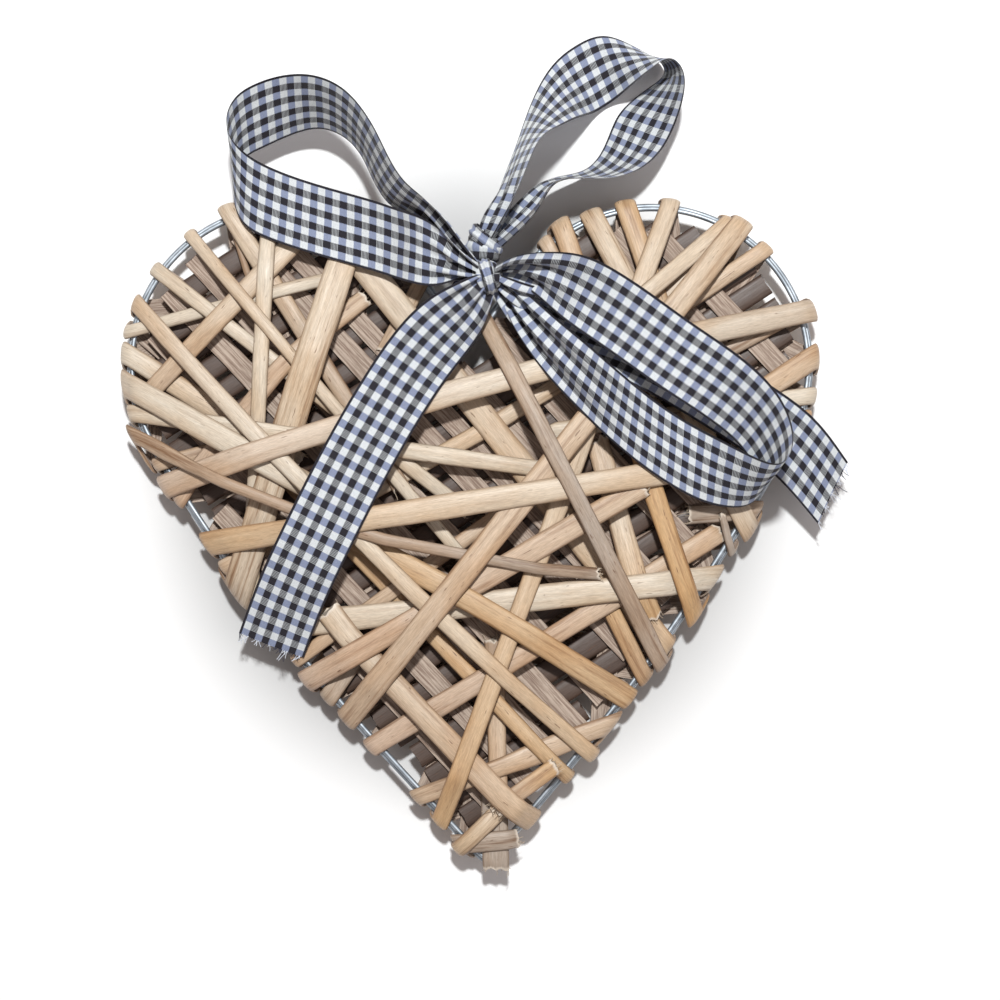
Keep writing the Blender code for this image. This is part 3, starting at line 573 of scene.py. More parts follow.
# %% The run on the back, and the reach of the folds
def back_run(curve, which, index, share, hold, width):
    """Stations of the end that was carried behind the wire."""
    near = end_direction(curve, which)
    inward = -frame_outward[index]
    tangent = frame_tangent[index]
    mirrored = inward * (near @ inward) - tangent * (near @ tangent)
    mirrored /= np.linalg.norm(mirrored)
    _, room = frame_crossing(fold_line[index] + mirrored * behind_step, mirrored)
    room += behind_step
    reach = max(min(least_back, least_back_share * room),
                min(share * room, room - back_margin))
    back_curve = np.array([fold_line[index] + mirrored * reach * t
                           for t in np.linspace(0.0, 1.0, max(20, int(reach / curve_step)))])
    leg = Leg(back_curve, width / 2, under_map, (hold, None), False)
    return leg_stations(leg, leg.path(), width, (tangent, None), -1.0)


def raise_reach(folds, holds, curve, stations, width):
    """Remember how far the strip reaches round the wire, for the folds still to come."""
    if folds[0] is None and folds[1] is None:
        top = max(float(p[2]) for p, _, _ in stations) + strip_thickness
        for k in range(frame_count):
            if np.min(np.linalg.norm(curve - fold_line[k], axis=1)) < width / 2 + touching:
                fold_reach[k] = max(fold_reach[k], top)
    for index, hold in zip(folds, holds):
        if index is None:
            continue
        radius, slant = hold
        for k in footprint(index, width / 2 / slant + side_gap / 4):
            fold_reach[k] = max(fold_reach[k], radius + strip_thickness)

# %% Laying one strip
def lay_strip(row):
    name, x0, y0, x1, y1, bow, width, hold0, hold1, back0, back1 = row
    width *= drawing_unit
    bow *= drawing_unit
    folds, (p0, p1) = fold_places(plan_point(x0, y0), plan_point(x1, y1), (hold0, hold1))
    curve = plan_curve(p0, p1, bow, max(40, int(np.linalg.norm(p1 - p0) / curve_step)))
    holds = [None if index is None else fold_hold(curve, which, index, width)
             for which, index in enumerate(folds)]
    ends = [None if index is None else frame_tangent[index] for index in folds]
    front = Leg(curve, width / 2, top_map, holds, abs(bow) > least_bow)
    stations = leg_stations(front, front.path(), width, ends, 1.0)
    backs = [None if index is None else back_run(curve, which, index, share, holds[which], width)
             for which, (index, share) in enumerate(zip(folds, (back0, back1)))]
    everything = []
    spans = []
    if backs[0] is not None:
        everything += list(reversed(backs[0]))[:-1]
        spans.append((0, len(backs[0]), under_map))
    start = len(everything)
    everything += stations
    spans.append((start, start + len(stations), top_map))
    if backs[1] is not None:
        everything += [(p, -u, h) for p, u, h in backs[1]][1:]
        spans.append((start + len(stations) - 1, len(everything), under_map))
    normals = station_normals(everything)
    for a, b, height_map in spans:
        stamp_leg(height_map, everything[a:b], normals[a:b])
    raise_reach(folds, holds, curve, stations, width)
    return everything, normals

# %% Lay the whole pile
laid = {row[0]: lay_strip(row) for row in STRIP_ROWS}
print("laid", len(laid), "strips, the front is", round(top_map.max() * 1000, 1), "mm high")

# %% [markdown]
# ## Where the drawing sits
# The solid model stands on its lowest point, with its middle at the origin. The same wire,
# worked out here with the same values, shows how far the drawing has to move to meet it.

# %% Wire cross-sections
def wire_rings(offset, level, sides, spacing):
    count = int(frame_count * FRAME_STEP / spacing)
    rings = []
    for k in range(count):
        index = int(round(k * frame_count / count)) % frame_count
        centre = frame_line[index] + frame_outward[index] * offset
        ring = []
        for a in range(sides):
            angle = 2 * math.pi * a / sides
            reach = wire_diameter / 2 * math.cos(angle)
            ring.append(np.array([centre[0] + frame_outward[index][0] * reach,
                                  centre[1] + frame_outward[index][1] * reach,
                                  level + wire_diameter / 2 * math.sin(angle)]))
        rings.append(ring)
    return rings

# %% The move from the drawing to the model
solid_sides = 6
solid_spacing = 0.0120
coarse_wire = np.array(wire_rings(0.0, wire_rise, solid_sides, solid_spacing))
wire_low = np.array(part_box("frame_wire_front")[0])
origin_shift = wire_low - coarse_wire.reshape(-1, 3).min(axis=0)
print("the drawing moves by", [round(v * 1000, 2) for v in origin_shift], "mm")

# %% [markdown]
# ## Split willow in the round
# Each rod was split down its middle, so a strip has a rounded, peeled face outside and a
# flat pith face inside. The laying gave only a few places along each strip. Here the strip
# is followed in steps of under a millimetre, with a rounded section, slightly uneven
# sides, and ragged ends where it was cut.

# %% Follow a strip in small steps
strip_step = 0.0009
top_columns = 9
pith_columns = 5
section_power = 2.6
edge_share = 0.22
raggedness = 0.0011
width_drift = 0.05
thickness_drift = 0.05
width_wave, thickness_wave = 0.07, 0.05
thickness_excess = 1.04
end_reach = 0.0016
rounding_length = 0.004
pith_inset, pith_lift = 0.97, 0.03
point_ease, side_ease = 0.8, 2.0


def softened(values, reach):
    """Values along a line with their corners eased, and both ends kept."""
    span = int(reach * 3)
    kernel = np.exp(-0.5 * (np.arange(-span, span + 1) / reach) ** 2)
    kernel /= kernel.sum()
    head = 2 * values[0] - values[span:0:-1]
    tail = 2 * values[-1] - values[-2:-span - 2:-1]
    padded = np.concatenate([head, values, tail])
    if values.ndim == 1:
        return np.convolve(padded, kernel, mode="valid")
    return np.stack([np.convolve(padded[:, k], kernel, mode="valid")
                     for k in range(values.shape[1])], axis=1)


def followed(stations, step):
    """Points, across directions and half widths at even steps along a strip."""
    points = np.array([s[0] for s in stations])
    across = np.array([[s[1][0], s[1][1], 0.0] for s in stations])
    half = np.array([s[2] for s in stations])
    travelled = lengths_along(points)
    count = max(12, int(travelled[-1] / step) + 1)
    wanted = np.linspace(0.0, travelled[-1], count)
    points = np.stack([np.interp(wanted, travelled, points[:, k]) for k in range(3)], axis=1)
    across = np.stack([np.interp(wanted, travelled, across[:, k]) for k in range(3)], axis=1)
    half = np.interp(wanted, travelled, half)
    points = softened(points, point_ease)
    across = unit_rows(softened(across, side_ease))
    return points, across, softened(half, side_ease), wanted


print("a strip is followed every", strip_step * 1000, "mm")

# %% [markdown]
# ### The section and its notes
# Besides its shape, every point of the mesh carries notes for the finish: how far along
# and across the strip it lies, whether it is on the pith face, how near it is to a cut
# end, and the colour of the wood there.

# %% Colours of peeled willow, and the painted shade of the gaps
WOOD = {
    "cream": (0.810, 0.755, 0.680),
    "light": (0.795, 0.720, 0.630),
    "tan": (0.765, 0.668, 0.568),
    "pink": (0.765, 0.665, 0.580),
    "orange": (0.770, 0.630, 0.465),
    "golden": (0.765, 0.645, 0.505),
    "brown": (0.665, 0.565, 0.475),
    "grey": (0.665, 0.605, 0.550),
    # dark is painted shade: the colour of the lower filling layer, standing in for the shadow at the
    # bottom of the gaps between strips
    "dark": (0.34, 0.28, 0.25),
}
STRIP_TONES = {
    "tip_end": "grey grey grey", "tip_band": "golden brown grey",
    "tip_cross": "orange golden light", "lower_upright": "brown tan tan",
    "low_crossing": "orange tan tan", "left_stub": "tan tan brown",
    "left_low_stub": "brown orange grey", "mid_diagonal": "golden golden golden",
    "right_low_stub": "brown tan orange", "left_rise": "tan tan tan",
    "long_rise": "tan light tan", "right_arm_low": "grey tan tan",
    "right_arm_high": "tan light light", "rounded_end": "tan cream cream",
    "right_lobe_drop": "golden golden tan", "cleft_drop": "tan tan light",
    "lobe_sliver": "brown brown brown", "lobe_diagonal": "tan light brown",
    "left_brace": "light cream cream", "left_fan_1": "light cream cream",
    "left_fan_wide": "tan cream light", "left_return": "tan pink tan",
    "lobe_cross": "tan light light", "lobe_upright": "light cream cream",
    "left_fan_2": "tan light cream", "cleft_left_stub": "tan light tan",
    "centre_diagonal": "light light orange", "right_foot": "orange brown brown",
    "low_rise": "pink pink tan", "right_prop": "tan light orange",
    "low_level": "cream cream light", "right_short": "brown tan grey",
    "right_arm_wide": "tan tan light", "right_edge_piece": "orange orange tan",
    "right_sliver": "grey grey brown", "right_lobe_long": "light light grey",
    "low_diagonal": "light tan orange", "high_to_low": "light light orange",
    "right_inner_drop": "tan orange orange", "left_low_rise": "pink pink tan",
    "low_right_run": "golden golden orange", "broad_upright": "light light grey",
    "left_level": "light cream cream", "left_broad": "tan cream cream",
    "long_fall": "tan cream golden", "right_lobe_arm": "tan light light",
    "upper_level": "pink cream brown", "curved_run": "tan brown grey",
    "great_rise": "brown tan light", "middle_level": "orange light cream",
    # the tone dark is the painted shade of the lower filling layer
    "great_fall": "tan grey brown", "dark": "dark dark dark",
    "inner": "grey brown grey",
}

FILLING_TONES = ("dark", "inner")
tone_middle = 0.45


def linear(colour):
    """A colour as seen on a screen, turned into the light values that shading needs."""
    return np.array([c / 12.92 if c <= 0.04045 else ((c + 0.055) / 1.055) ** 2.4
                     for c in colour])


def tone_along(name, share):
    """The wood's colour at a share of the way along a strip."""
    first, middle, last = [linear(WOOD[t]) for t in STRIP_TONES[name].split()]
    if share < tone_middle:
        ease = share / tone_middle
        return first * (1 - ease) + middle * ease
    ease = (share - tone_middle) / (1 - tone_middle)
    return middle * (1 - ease) + last * ease


print(len(WOOD), "wood colours for", len(STRIP_TONES), "strips")

# %% Mesh of one strip
def section():
    """Across share, height share and pith mark of each point round a strip."""
    turn = np.linspace(-1.0, 1.0, top_columns)
    across = np.sin(turn * math.pi / 2)
    height = edge_share + (1 - edge_share) * (1 - np.abs(across) ** section_power) ** 0.5
    under = np.linspace(1.0, -1.0, pith_columns)
    return (np.concatenate([across, under * pith_inset]),
            np.concatenate([height, pith_lift * np.ones(pith_columns)]),
            np.concatenate([np.zeros(top_columns), np.ones(pith_columns)]))


def slow_wave(rng, travelled, longest):
    """A smooth random drift between about -1 and 1 along a strip."""
    total = np.zeros(len(travelled))
    for part in (1.0, 0.43, 0.19):
        phase = rng.uniform(0, 2 * math.pi)
        total += part * np.sin(2 * math.pi * travelled / (longest * part) + phase)
    return total / 1.5


def strip_mesh(name, stations, number, step=strip_step, deep=strip_thickness):
    rng = np.random.default_rng(400 + number)
    points, across, half, travelled = followed(stations, step)
    length = travelled[-1]
    tangent = unit_rows(np.gradient(points, axis=0))
    normal = unit_rows(np.cross(tangent, across))
    wide = half * (1 + width_drift * slow_wave(rng, travelled, width_wave))
    thick = deep * (thickness_excess
                    + thickness_drift * slow_wave(rng, travelled, thickness_wave))
    shares, heights, pith = section()
    rag = rng.normal(0.0, raggedness * 0.5, (2, len(shares)))
    if name in FILLING_TONES:
        rag *= 0.25
    if name == "rounded_end":
        from_end = np.minimum((length - travelled) / rounding_length, 1.0)
        wide = wide * np.sqrt(np.maximum(1 - (1 - from_end) ** 2, 0.05))
        rag *= 0.2
    near_end = np.exp(-np.stack([travelled, length - travelled]) / end_reach)
    vertices = []
    notes = []
    for k in range(len(points)):
        pull = near_end[0][k] * rag[0] + near_end[1][k] * rag[1]
        row = (points[k] + across[k] * (wide[k] * shares)[:, None]
               + normal[k] * (thick[k] * heights)[:, None] + tangent[k] * pull[:, None])
        vertices.append(row)
        cut = max(near_end[0][k], near_end[1][k])
        tone = tone_along(name, travelled[k] / length)
        for v, p in zip(shares, pith):
            notes.append((travelled[k], v * wide[k], v, p, cut, *tone))
    vertices = np.concatenate(vertices)
    ring = len(shares)
    faces = quads(len(points), ring, closed=True)
    faces.append(tuple(range(ring)))
    faces.append(tuple((len(points) - 1) * ring + c for c in reversed(range(ring))))
    placed = vertices + origin_shift
    placed[:, 2] = np.maximum(placed[:, 2], 0.0)
    return placed, faces, np.array(notes)


print("a strip's section has", len(section()[0]), "points")

# %% [markdown]
# ### Make the strips
# Each strip becomes an object of its own that stands in for its solid. The notes are kept
# as attributes of the mesh, where the wood finish will find them.

# %% Build every strip
def face_outward(mesh):
    work = bmesh.new()
    work.from_mesh(mesh)
    bmesh.ops.recalc_face_normals(work, faces=work.faces)
    for face in work.faces:
        face.smooth = True
    work.to_mesh(mesh)
    work.free()


def new_object(name, vertices, faces):
    mesh = bpy.data.meshes.new(name)
    mesh.from_pydata([tuple(v) for v in vertices], [], faces)
    face_outward(mesh)
    mesh.set_sharp_from_angle(angle=math.radians(50))
    return placed_object(name, mesh)


def add_note(mesh, name, kind, values):
    attribute = mesh.attributes.new(name, kind, "POINT")
    field = {"FLOAT": "value", "FLOAT_VECTOR": "vector", "FLOAT_COLOR": "color"}[kind]
    attribute.data.foreach_set(field, np.ascontiguousarray(values, dtype=np.float32).ravel())


def note_strip(strip, notes, seed):
    """Write a strip's notes on its mesh, for the wood finish."""
    mesh = strip.data
    add_note(mesh, "grain_place", "FLOAT_VECTOR",
             np.column_stack([notes[:, 0], notes[:, 1], np.full(len(notes), seed)]))
    add_note(mesh, "side", "FLOAT", notes[:, 2])
    add_note(mesh, "pith", "FLOAT", notes[:, 3])
    add_note(mesh, "cut_end", "FLOAT", notes[:, 4])
    add_note(mesh, "wood_colour", "FLOAT_COLOR",
             np.column_stack([notes[:, 5:8], np.ones(len(notes))]))


willow_strips = []
cut_ends = []
for number, row in enumerate(STRIP_ROWS):
    name = row[0]
    vertices, faces, notes = strip_mesh(name, laid[name][0], number)
    strip = new_object("willow_" + name, vertices, faces)
    note_strip(strip, notes, (number * 0.618) % 1.0 * 7.0)
    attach(strip, "root")
    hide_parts("strip_" + name)
    willow_strips.append(strip)
    ring = top_columns + pith_columns
    for base, step in ((0, ring), (len(vertices) - ring, -ring)):
        cut_ends.append((vertices[base:base + top_columns],
                         vertices[base:base + top_columns]
                         - vertices[base + step:base + step + top_columns], number))
print(len(willow_strips), "strips,", sum(len(s.data.polygons) for s in willow_strips), "faces")

# %% [markdown]
# ## The filling of the weave
# Between the strips of the front and the legs on the back, more split rods lie inside the
# wires. Little of them shows at the bottom of the gaps: the dull pith face of an upper
# layer, and below it a lower layer coloured dark brown, which is painted shade standing in
# for the shadow deep in the gaps. The two layers cross, one on the other, in the plane of the wires.

# %% Runs of filling inside the wires
filling_thickness = 0.00085
inner_edge_gap = 0.0026
cleft_gap = 0.0042
filling_reach = 0.120
filling_overrun = 0.005
filling_probe = 0.002
least_probes = 4
narrowest_half = 0.78
filling_step = 0.003
FILLING_LAYERS = [
    # The first layer, in the tone dark, is painted shade: its dark brown stands in for the shadow deep
    # in the gaps.
    {"angle": math.radians(33), "pitch": 0.0071, "half": 0.0034, "low": -0.00090, "stray": 0.0001,
     "tone": "dark", "pith_up": False},
    {"angle": math.radians(-47), "pitch": 0.0108, "half": 0.0033, "low": 0.0, "stray": 0.0020,
     "tone": "inner", "pith_up": True},
]


def inside_wires(point):
    """Whether a place in the plan lies inside the wires, clear of them and of the knot."""
    apart = frame_line - point
    nearest = np.linalg.norm(apart, axis=1)
    if nearest.min() < inner_edge_gap:
        return False
    if np.hypot(point[0], point[1] - cleft_height) < cleft_gap:
        return False
    turn = np.arctan2(apart[:, 1], apart[:, 0])
    change = np.diff(np.append(turn, turn[0]))
    change = (change + math.pi) % (2 * math.pi) - math.pi
    return abs(change.sum()) > math.pi


def filling_runs(layer, rng):
    forward = np.array([math.cos(layer["angle"]), math.sin(layer["angle"])])
    square = np.array([-forward[1], forward[0]])
    furthest = filling_reach + filling_overrun
    places = np.arange(-furthest, furthest, filling_probe)
    runs = []
    for offset in np.arange(-filling_reach, filling_reach, layer["pitch"]):
        offset += rng.uniform(-1.0, 1.0) * layer["stray"]
        half = layer["half"] * rng.uniform(narrowest_half, 1.0)
        held = []
        for s in places:
            spots = [forward * s + square * (offset + side * half) for side in (-1.0, 1.0)]
            if all(inside_wires(spot) for spot in spots):
                held.append(forward * s + square * offset)
                continue
            if len(held) > least_probes:
                runs.append((held[0], held[-1], half))
            held = []
        if len(held) > least_probes:
            runs.append((held[0], held[-1], half))
    return runs, square


filling_rng = np.random.default_rng(23)
for layer in FILLING_LAYERS:
    layer["runs"], layer["square"] = filling_runs(layer, filling_rng)
    print(len(layer["runs"]), "runs at", round(math.degrees(layer["angle"])), "degrees")

# %% Lay the filling
def lay_filling(name, layer, first_number):
    every_point, every_face, every_note = [], [], []
    base = 0
    for number, (first, last, half) in enumerate(layer["runs"]):
        level = layer["low"] + (filling_thickness if layer["pith_up"] else 0.0)
        side = -layer["square"] if layer["pith_up"] else layer["square"]
        stations = [(np.array([*(first + (last - first) * t), level]), side, half)
                    for t in (0.0, 0.5, 1.0)]
        points, sides, marks = strip_mesh(layer["tone"], stations, first_number + number,
                                          filling_step, filling_thickness)
        marks[:, 4] = 0.0
        every_point.append(points)
        every_face += [tuple(base + i for i in corner) for corner in sides]
        every_note.append(marks)
        base += len(points)
    filling = new_object(name, np.concatenate(every_point), every_face)
    note_strip(filling, np.concatenate(every_note), 3.3)
    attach(filling, "root")
    willow_strips.append(filling)
    print(name, "has", len(every_face), "faces")


# willow_dark is the lower filling layer, whose dark colour is painted shade at the bottom of the gaps.
lay_filling("willow_dark", FILLING_LAYERS[0], 100)
lay_filling("willow_inner", FILLING_LAYERS[1], 160)

# %% [markdown]
# ## The two wires
# Each wire is a round section carried along the same closed line. A node tree does it in
# three steps: the points of the outline become a curve, a small circle is swept along it,
# and the result gets its finish. The two wires differ only in where their line runs.

# %% A node tree that sweeps a wire
def shape_tree(name, inputs):
    """A new tree from geometry to geometry: the tree, its input node and its output node."""
    tree = bpy.data.node_groups.new(name, "GeometryNodeTree")
    for label, kind in (("Geometry", "Geometry"), *inputs):
        tree.interface.new_socket(label, in_out="INPUT", socket_type="NodeSocket" + kind)
    tree.interface.new_socket("Geometry", in_out="OUTPUT", socket_type="NodeSocketGeometry")
    return tree, tree.nodes.new("NodeGroupInput"), tree.nodes.new("NodeGroupOutput")


def finish_tree(tree, start, shape, end):
    """The last steps of both trees: real geometry, smooth shading and the finish."""
    for kind in ("GeometryNodeRealizeInstances", "GeometryNodeSetShadeSmooth",
                 "GeometryNodeSetMaterial"):
        step = tree.nodes.new(kind)
        tree.links.new(shape, step.inputs["Geometry"])
        shape = step.outputs["Geometry"]
    tree.links.new(start.outputs["Finish"], step.inputs["Material"])
    tree.links.new(shape, end.inputs["Geometry"])


def sweep_tree():
    tree, start, end = shape_tree("Wire along a line", [
        ("Wire radius", "Float"), ("Sides", "Int"), ("Finish", "Material")])
    nodes, link = tree.nodes, tree.links.new
    to_curve = nodes.new("GeometryNodeMeshToCurve")
    circle = nodes.new("GeometryNodeCurvePrimitiveCircle")
    sweep = nodes.new("GeometryNodeCurveToMesh")
    link(start.outputs["Geometry"], to_curve.inputs["Mesh"])
    link(start.outputs["Wire radius"], circle.inputs["Radius"])
    link(start.outputs["Sides"], circle.inputs["Resolution"])
    link(to_curve.outputs["Curve"], sweep.inputs["Curve"])
    link(circle.outputs["Curve"], sweep.inputs["Profile Curve"])
    finish_tree(tree, start, sweep.outputs["Mesh"], end)
    return tree


def socket_of(tree, name):
    for item in tree.interface.items_tree:
        if item.item_type == "SOCKET" and item.in_out == "INPUT" and item.name == name:
            return item.identifier
    raise KeyError(name)


def made_real(source, tree, values, name):
    """The result of a node tree on a mesh, as a plain object."""
    modifier = source.modifiers.new("grow", "NODES")
    modifier.node_group = tree
    for key, value in values.items():
        modifier[socket_of(tree, key)] = value
    bpy.context.view_layer.update()
    shown = source.evaluated_get(bpy.context.evaluated_depsgraph_get())
    mesh = bpy.data.meshes.new_from_object(shown)
    source.modifiers.remove(modifier)
    bpy.data.objects.remove(source, do_unlink=True)
    mesh.name = name
    return placed_object(name, mesh)


wire_tree = sweep_tree()
print("the wire tree has", len(wire_tree.nodes), "nodes")

# %% Sweep both wires
wire_sides = 14
galvanised = bpy.data.materials.new("galvanised_wire")
frame_wires = []
for name, offset, level in (("wire_front", 0.0, wire_rise),
                            ("wire_back", wire_pair_stagger, -wire_rise)):
    every = frame_line[::2] + frame_outward[::2] * offset
    line = np.column_stack([every, np.full(len(every), level)]) + origin_shift
    guide = bpy.data.meshes.new(name + "_line")
    guide.from_pydata([tuple(p) for p in line],
                      [(k, (k + 1) % len(line)) for k in range(len(line))], [])
    wire = made_real(placed_object(name + "_line", guide), wire_tree,
                     {"Wire radius": wire_diameter / 2, "Sides": wire_sides,
                      "Finish": galvanised}, name)
    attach(wire, "root")
    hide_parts("frame_" + name)
    frame_wires.append(wire)
print("wires", [len(w.data.polygons) for w in frame_wires], "faces")

# %% [markdown]
# ## The ribbon
# The ribbon is nineteen millimetres of woven cotton. Seen from above, each run of it is
# given by its two edges. Where the drawing shows it narrower than it is, the ribbon must
# stand on its edge, so the near edge is raised until the cloth has its full width again.

# %% The runs of ribbon
LEFT_LOOP = [
    (479, 274, 480, 281, 0.25, 12.2), (458, 258, 456, 285, 0.6, 13), (436, 231, 434, 291, 0.9, 13),
    (410, 219, 408, 286, 1, 13), (380, 207, 378, 274, 1, None),
    (323, 188, 320, 260, 1, None), (279, 174, 273, 243, 1, None), (250, 160, 243, 226, 1, None),
    (231, 137, 233, 192, 1, 3), (238, 106, 241, 160, 1, 1), (262, 88, 264, 147, 1, 0),
    (292, 82, 292, 134, 1, 0), (323, 87, 321, 128, 1, 2), (352, 103, 347, 140, 1, 4),
    (376, 136, 364, 160, 1, 5), (392, 168, 374, 184, 1, 6), (408, 194, 390, 209, 1, 7),
    (428, 210, 414, 219, 0.9, 7), (447, 231, 440, 235, 0.7, 7.5), (462, 252, 459, 259, 0.5, 7.5),
    (479, 271, 478, 277, 0.25, 7.6)]
RIGHT_LOOP = [
    (496, 272, 495, 281, 0.25, 12.4), (514, 264, 509, 284, 0.45, 14.4), (542, 263, 533, 299, 0.8, 18),
    (590, 266, 562, 326, 1, 20),
    (643, 298, 605, 355, 1, 20), (688, 329, 648, 387, 1, 20), (732, 363, 694, 416, 1, 20),
    (765, 397, 731, 444, 1, 19), (780, 436, 751, 474, 1, 17), (772, 466, 757, 492, 1, 13),
    (748, 460, 742, 508, 1, None), (704, 434, 698, 503, 1, None), (652, 402, 646, 474, 1, None),
    (604, 366, 588, 422, 0.95, 13.6), (567, 334, 546, 378, 0.8, 12.2), (540, 310, 520, 342, 0.65, 11),
    (519, 290, 507, 315, 0.45, 8.6), (497, 276, 494, 285, 0.25, 8)]
LEFT_TAIL = [
    (481, 279, 490, 289, 0.3, 10.5), (462, 286, 490, 316, 0.75, 10), (428, 304, 474, 346, 1, None),
    (394, 338, 450, 378, 1, None), (360, 386, 422, 424, 1, None), (324, 449, 388, 484, 1, None),
    (290, 519, 353, 552, 1, None), (262, 576, 326, 606, 1, None), (240, 632, 305, 657, 1, None)]
RIGHT_TAIL = [
    (497, 278, 489, 288, 0.3, 8.5), (532, 292, 512, 330, 0.85, 8), (590, 303, 550, 358, 1, None),
    (655, 322, 617, 380, 1, None), (712, 352, 673, 410, 1, None), (768, 387, 729, 444, 1, None),
    (812, 418, 775, 476, 1, None), (846, 462, 818, 524, 1, None)]
HANGING_LOOP = [
    (492, 243, 482, 240, 0.3, 7), (516, 204, 495, 204, 0.9, 5), (537, 150, 512, 156, 1, 1),
    (557, 134, 528, 108, 1, -3), (581, 117, 547, 66, 1, -7), (603, 104, 574, 38, 1, -9),
    (628, 87, 606, 26, 1, -9), (652, 71, 640, 40, 1, -10), (668, 62, 664, 54, 1, -10),
    (682, 76, 667, 69, 1, -10), (682, 101, 646, 84, 1, -10), (674, 128, 622, 104, 1, -10),
    (660, 153, 612, 126, 1, -9), (637, 174, 603, 148, 1, -8), (606, 184, 588, 165, 1, -7),
    (574, 184, 566, 173, 1, -4), (551, 190, 542, 181, 0.9, 0), (538, 212, 519, 203, 0.8, 3),
    (514, 234, 503, 226, 0.6, 5), (494, 250, 488, 244, 0.3, 5)]
TIE_BAND = [
    (490, 254, 480, 252, 0.3, 4.4), (486, 272, 466, 268, 0.34, 3), (472, 300, 449, 289, 0.36, 4),
    (458, 328, 437, 313, 0.36, 3.6)]
KNOT_TOP = (484.5, 250.0)
KNOT_BOW = (488.0, 281.0)

# %% A smooth run through the rows
def spline_rows(rows, steps):
    """Even stations along a run of rows, as a smooth curve through every row."""
    data = np.array([[*plan_point(r[0], r[1]), *plan_point(r[2], r[3]), r[4],
                      0.0 if r[5] is None else r[5] * 0.001,
                      0.0 if r[5] is None else 1.0] for r in rows])
    padded = np.vstack([2 * data[0] - data[1], data, 2 * data[-1] - data[-2]])
    out = []
    for k in range(len(data) - 1):
        a, b, c, d = padded[k:k + 4]
        for t in np.linspace(0.0, 1.0, steps, endpoint=False):
            out.append(0.5 * (2 * b + (c - a) * t + (2 * a - 5 * b + 4 * c - d) * t ** 2
                              + (3 * b - a - 3 * c + d) * t ** 3))
    out.append(data[-1])
    return np.array(out)

# %% Edges of a run, at its true width
narrowest_share = 0.2
probe_shares = np.linspace(-0.04, 1.04, 25)
probe_shifts = (-0.5, -0.25, 0.0, 0.25, 0.5)


def ribbon_edges(rows, steps):
    """Near and far edges of a run, the near one raised so that the true width is kept."""
    data = spline_rows(rows, steps)
    near, far = data[:, :2].copy(), data[:, 2:4].copy()
    full = ribbon_width * np.clip(data[:, 4], narrowest_share, 1.0)
    centre = (near + far) / 2
    apart = np.linalg.norm(near - far, axis=1)
    squeeze = np.minimum(1.0, full / apart)[:, None]
    near = centre + (near - centre) * squeeze
    far = centre + (far - centre) * squeeze
    rise = np.sqrt(np.maximum(full ** 2 - np.minimum(apart, full) ** 2, 0.0))
    travelled = lengths_along(centre)
    ahead = np.roll(centre, -1, axis=0) - centre
    ahead[-1] = ahead[-2]
    support = np.zeros(len(data))
    for share in probe_shares:
        for shift in probe_shifts:
            i, j = grid_index(near + (far - near) * share + ahead * shift)
            support = np.maximum(support, top_map[i, j])
    support += ribbon_clearance + ribbon_thickness / 2
    loose = data[:, 6] <= 0.5
    level = np.where(loose, support, data[:, 5])
    if loose.any():
        points = [(float(travelled[k]), float(level[k])) for k in range(len(data))]
        runs = []
        k = 0
        while k < len(data):
            if loose[k]:
                start = max(k - 1, 0)
                while k < len(data) and loose[k]:
                    k += 1
                runs.append((start, min(k, len(data) - 1)))
            else:
                k += 1
        for a, b in runs:
            hull = np.array(upper_hull(points[a:b + 1]))
            level[a:b + 1] = np.interp(travelled[a:b + 1], hull[:, 0], hull[:, 1])
    return np.column_stack([near, level + rise]), np.column_stack([far, level])


def stamp_ribbon(near, far):
    for k in range(len(near) - 1):
        for t in np.linspace(0.0, 1.0, 12):
            n = near[k] * (1 - t) + near[k + 1] * t
            f = far[k] * (1 - t) + far[k + 1] * t
            shares = np.linspace(0.0, 1.0, 60)[:, None]
            points = n + (f - n) * shares
            stamp(top_map, points[:, :2], points[:, 2] + ribbon_thickness)

# %% [markdown]
# ### From edges to cloth
# Between its two edges the cloth is not flat. Near a knot its full width is squeezed into
# a few millimetres, so it falls into pleats: the fewer millimetres it gets, the deeper the
# waves. Elsewhere it keeps a slight curl. The depth of a wave follows from its width, so
# that the cloth is neither stretched nor shrunk.

# %% Cloth between two edges
ribbon_steps = 14
ribbon_columns = 40
pleats = 2.5
deepest_pleat = 0.0013
curl = 0.0007
ripple_height = 0.00012
edge_ease = 0.35


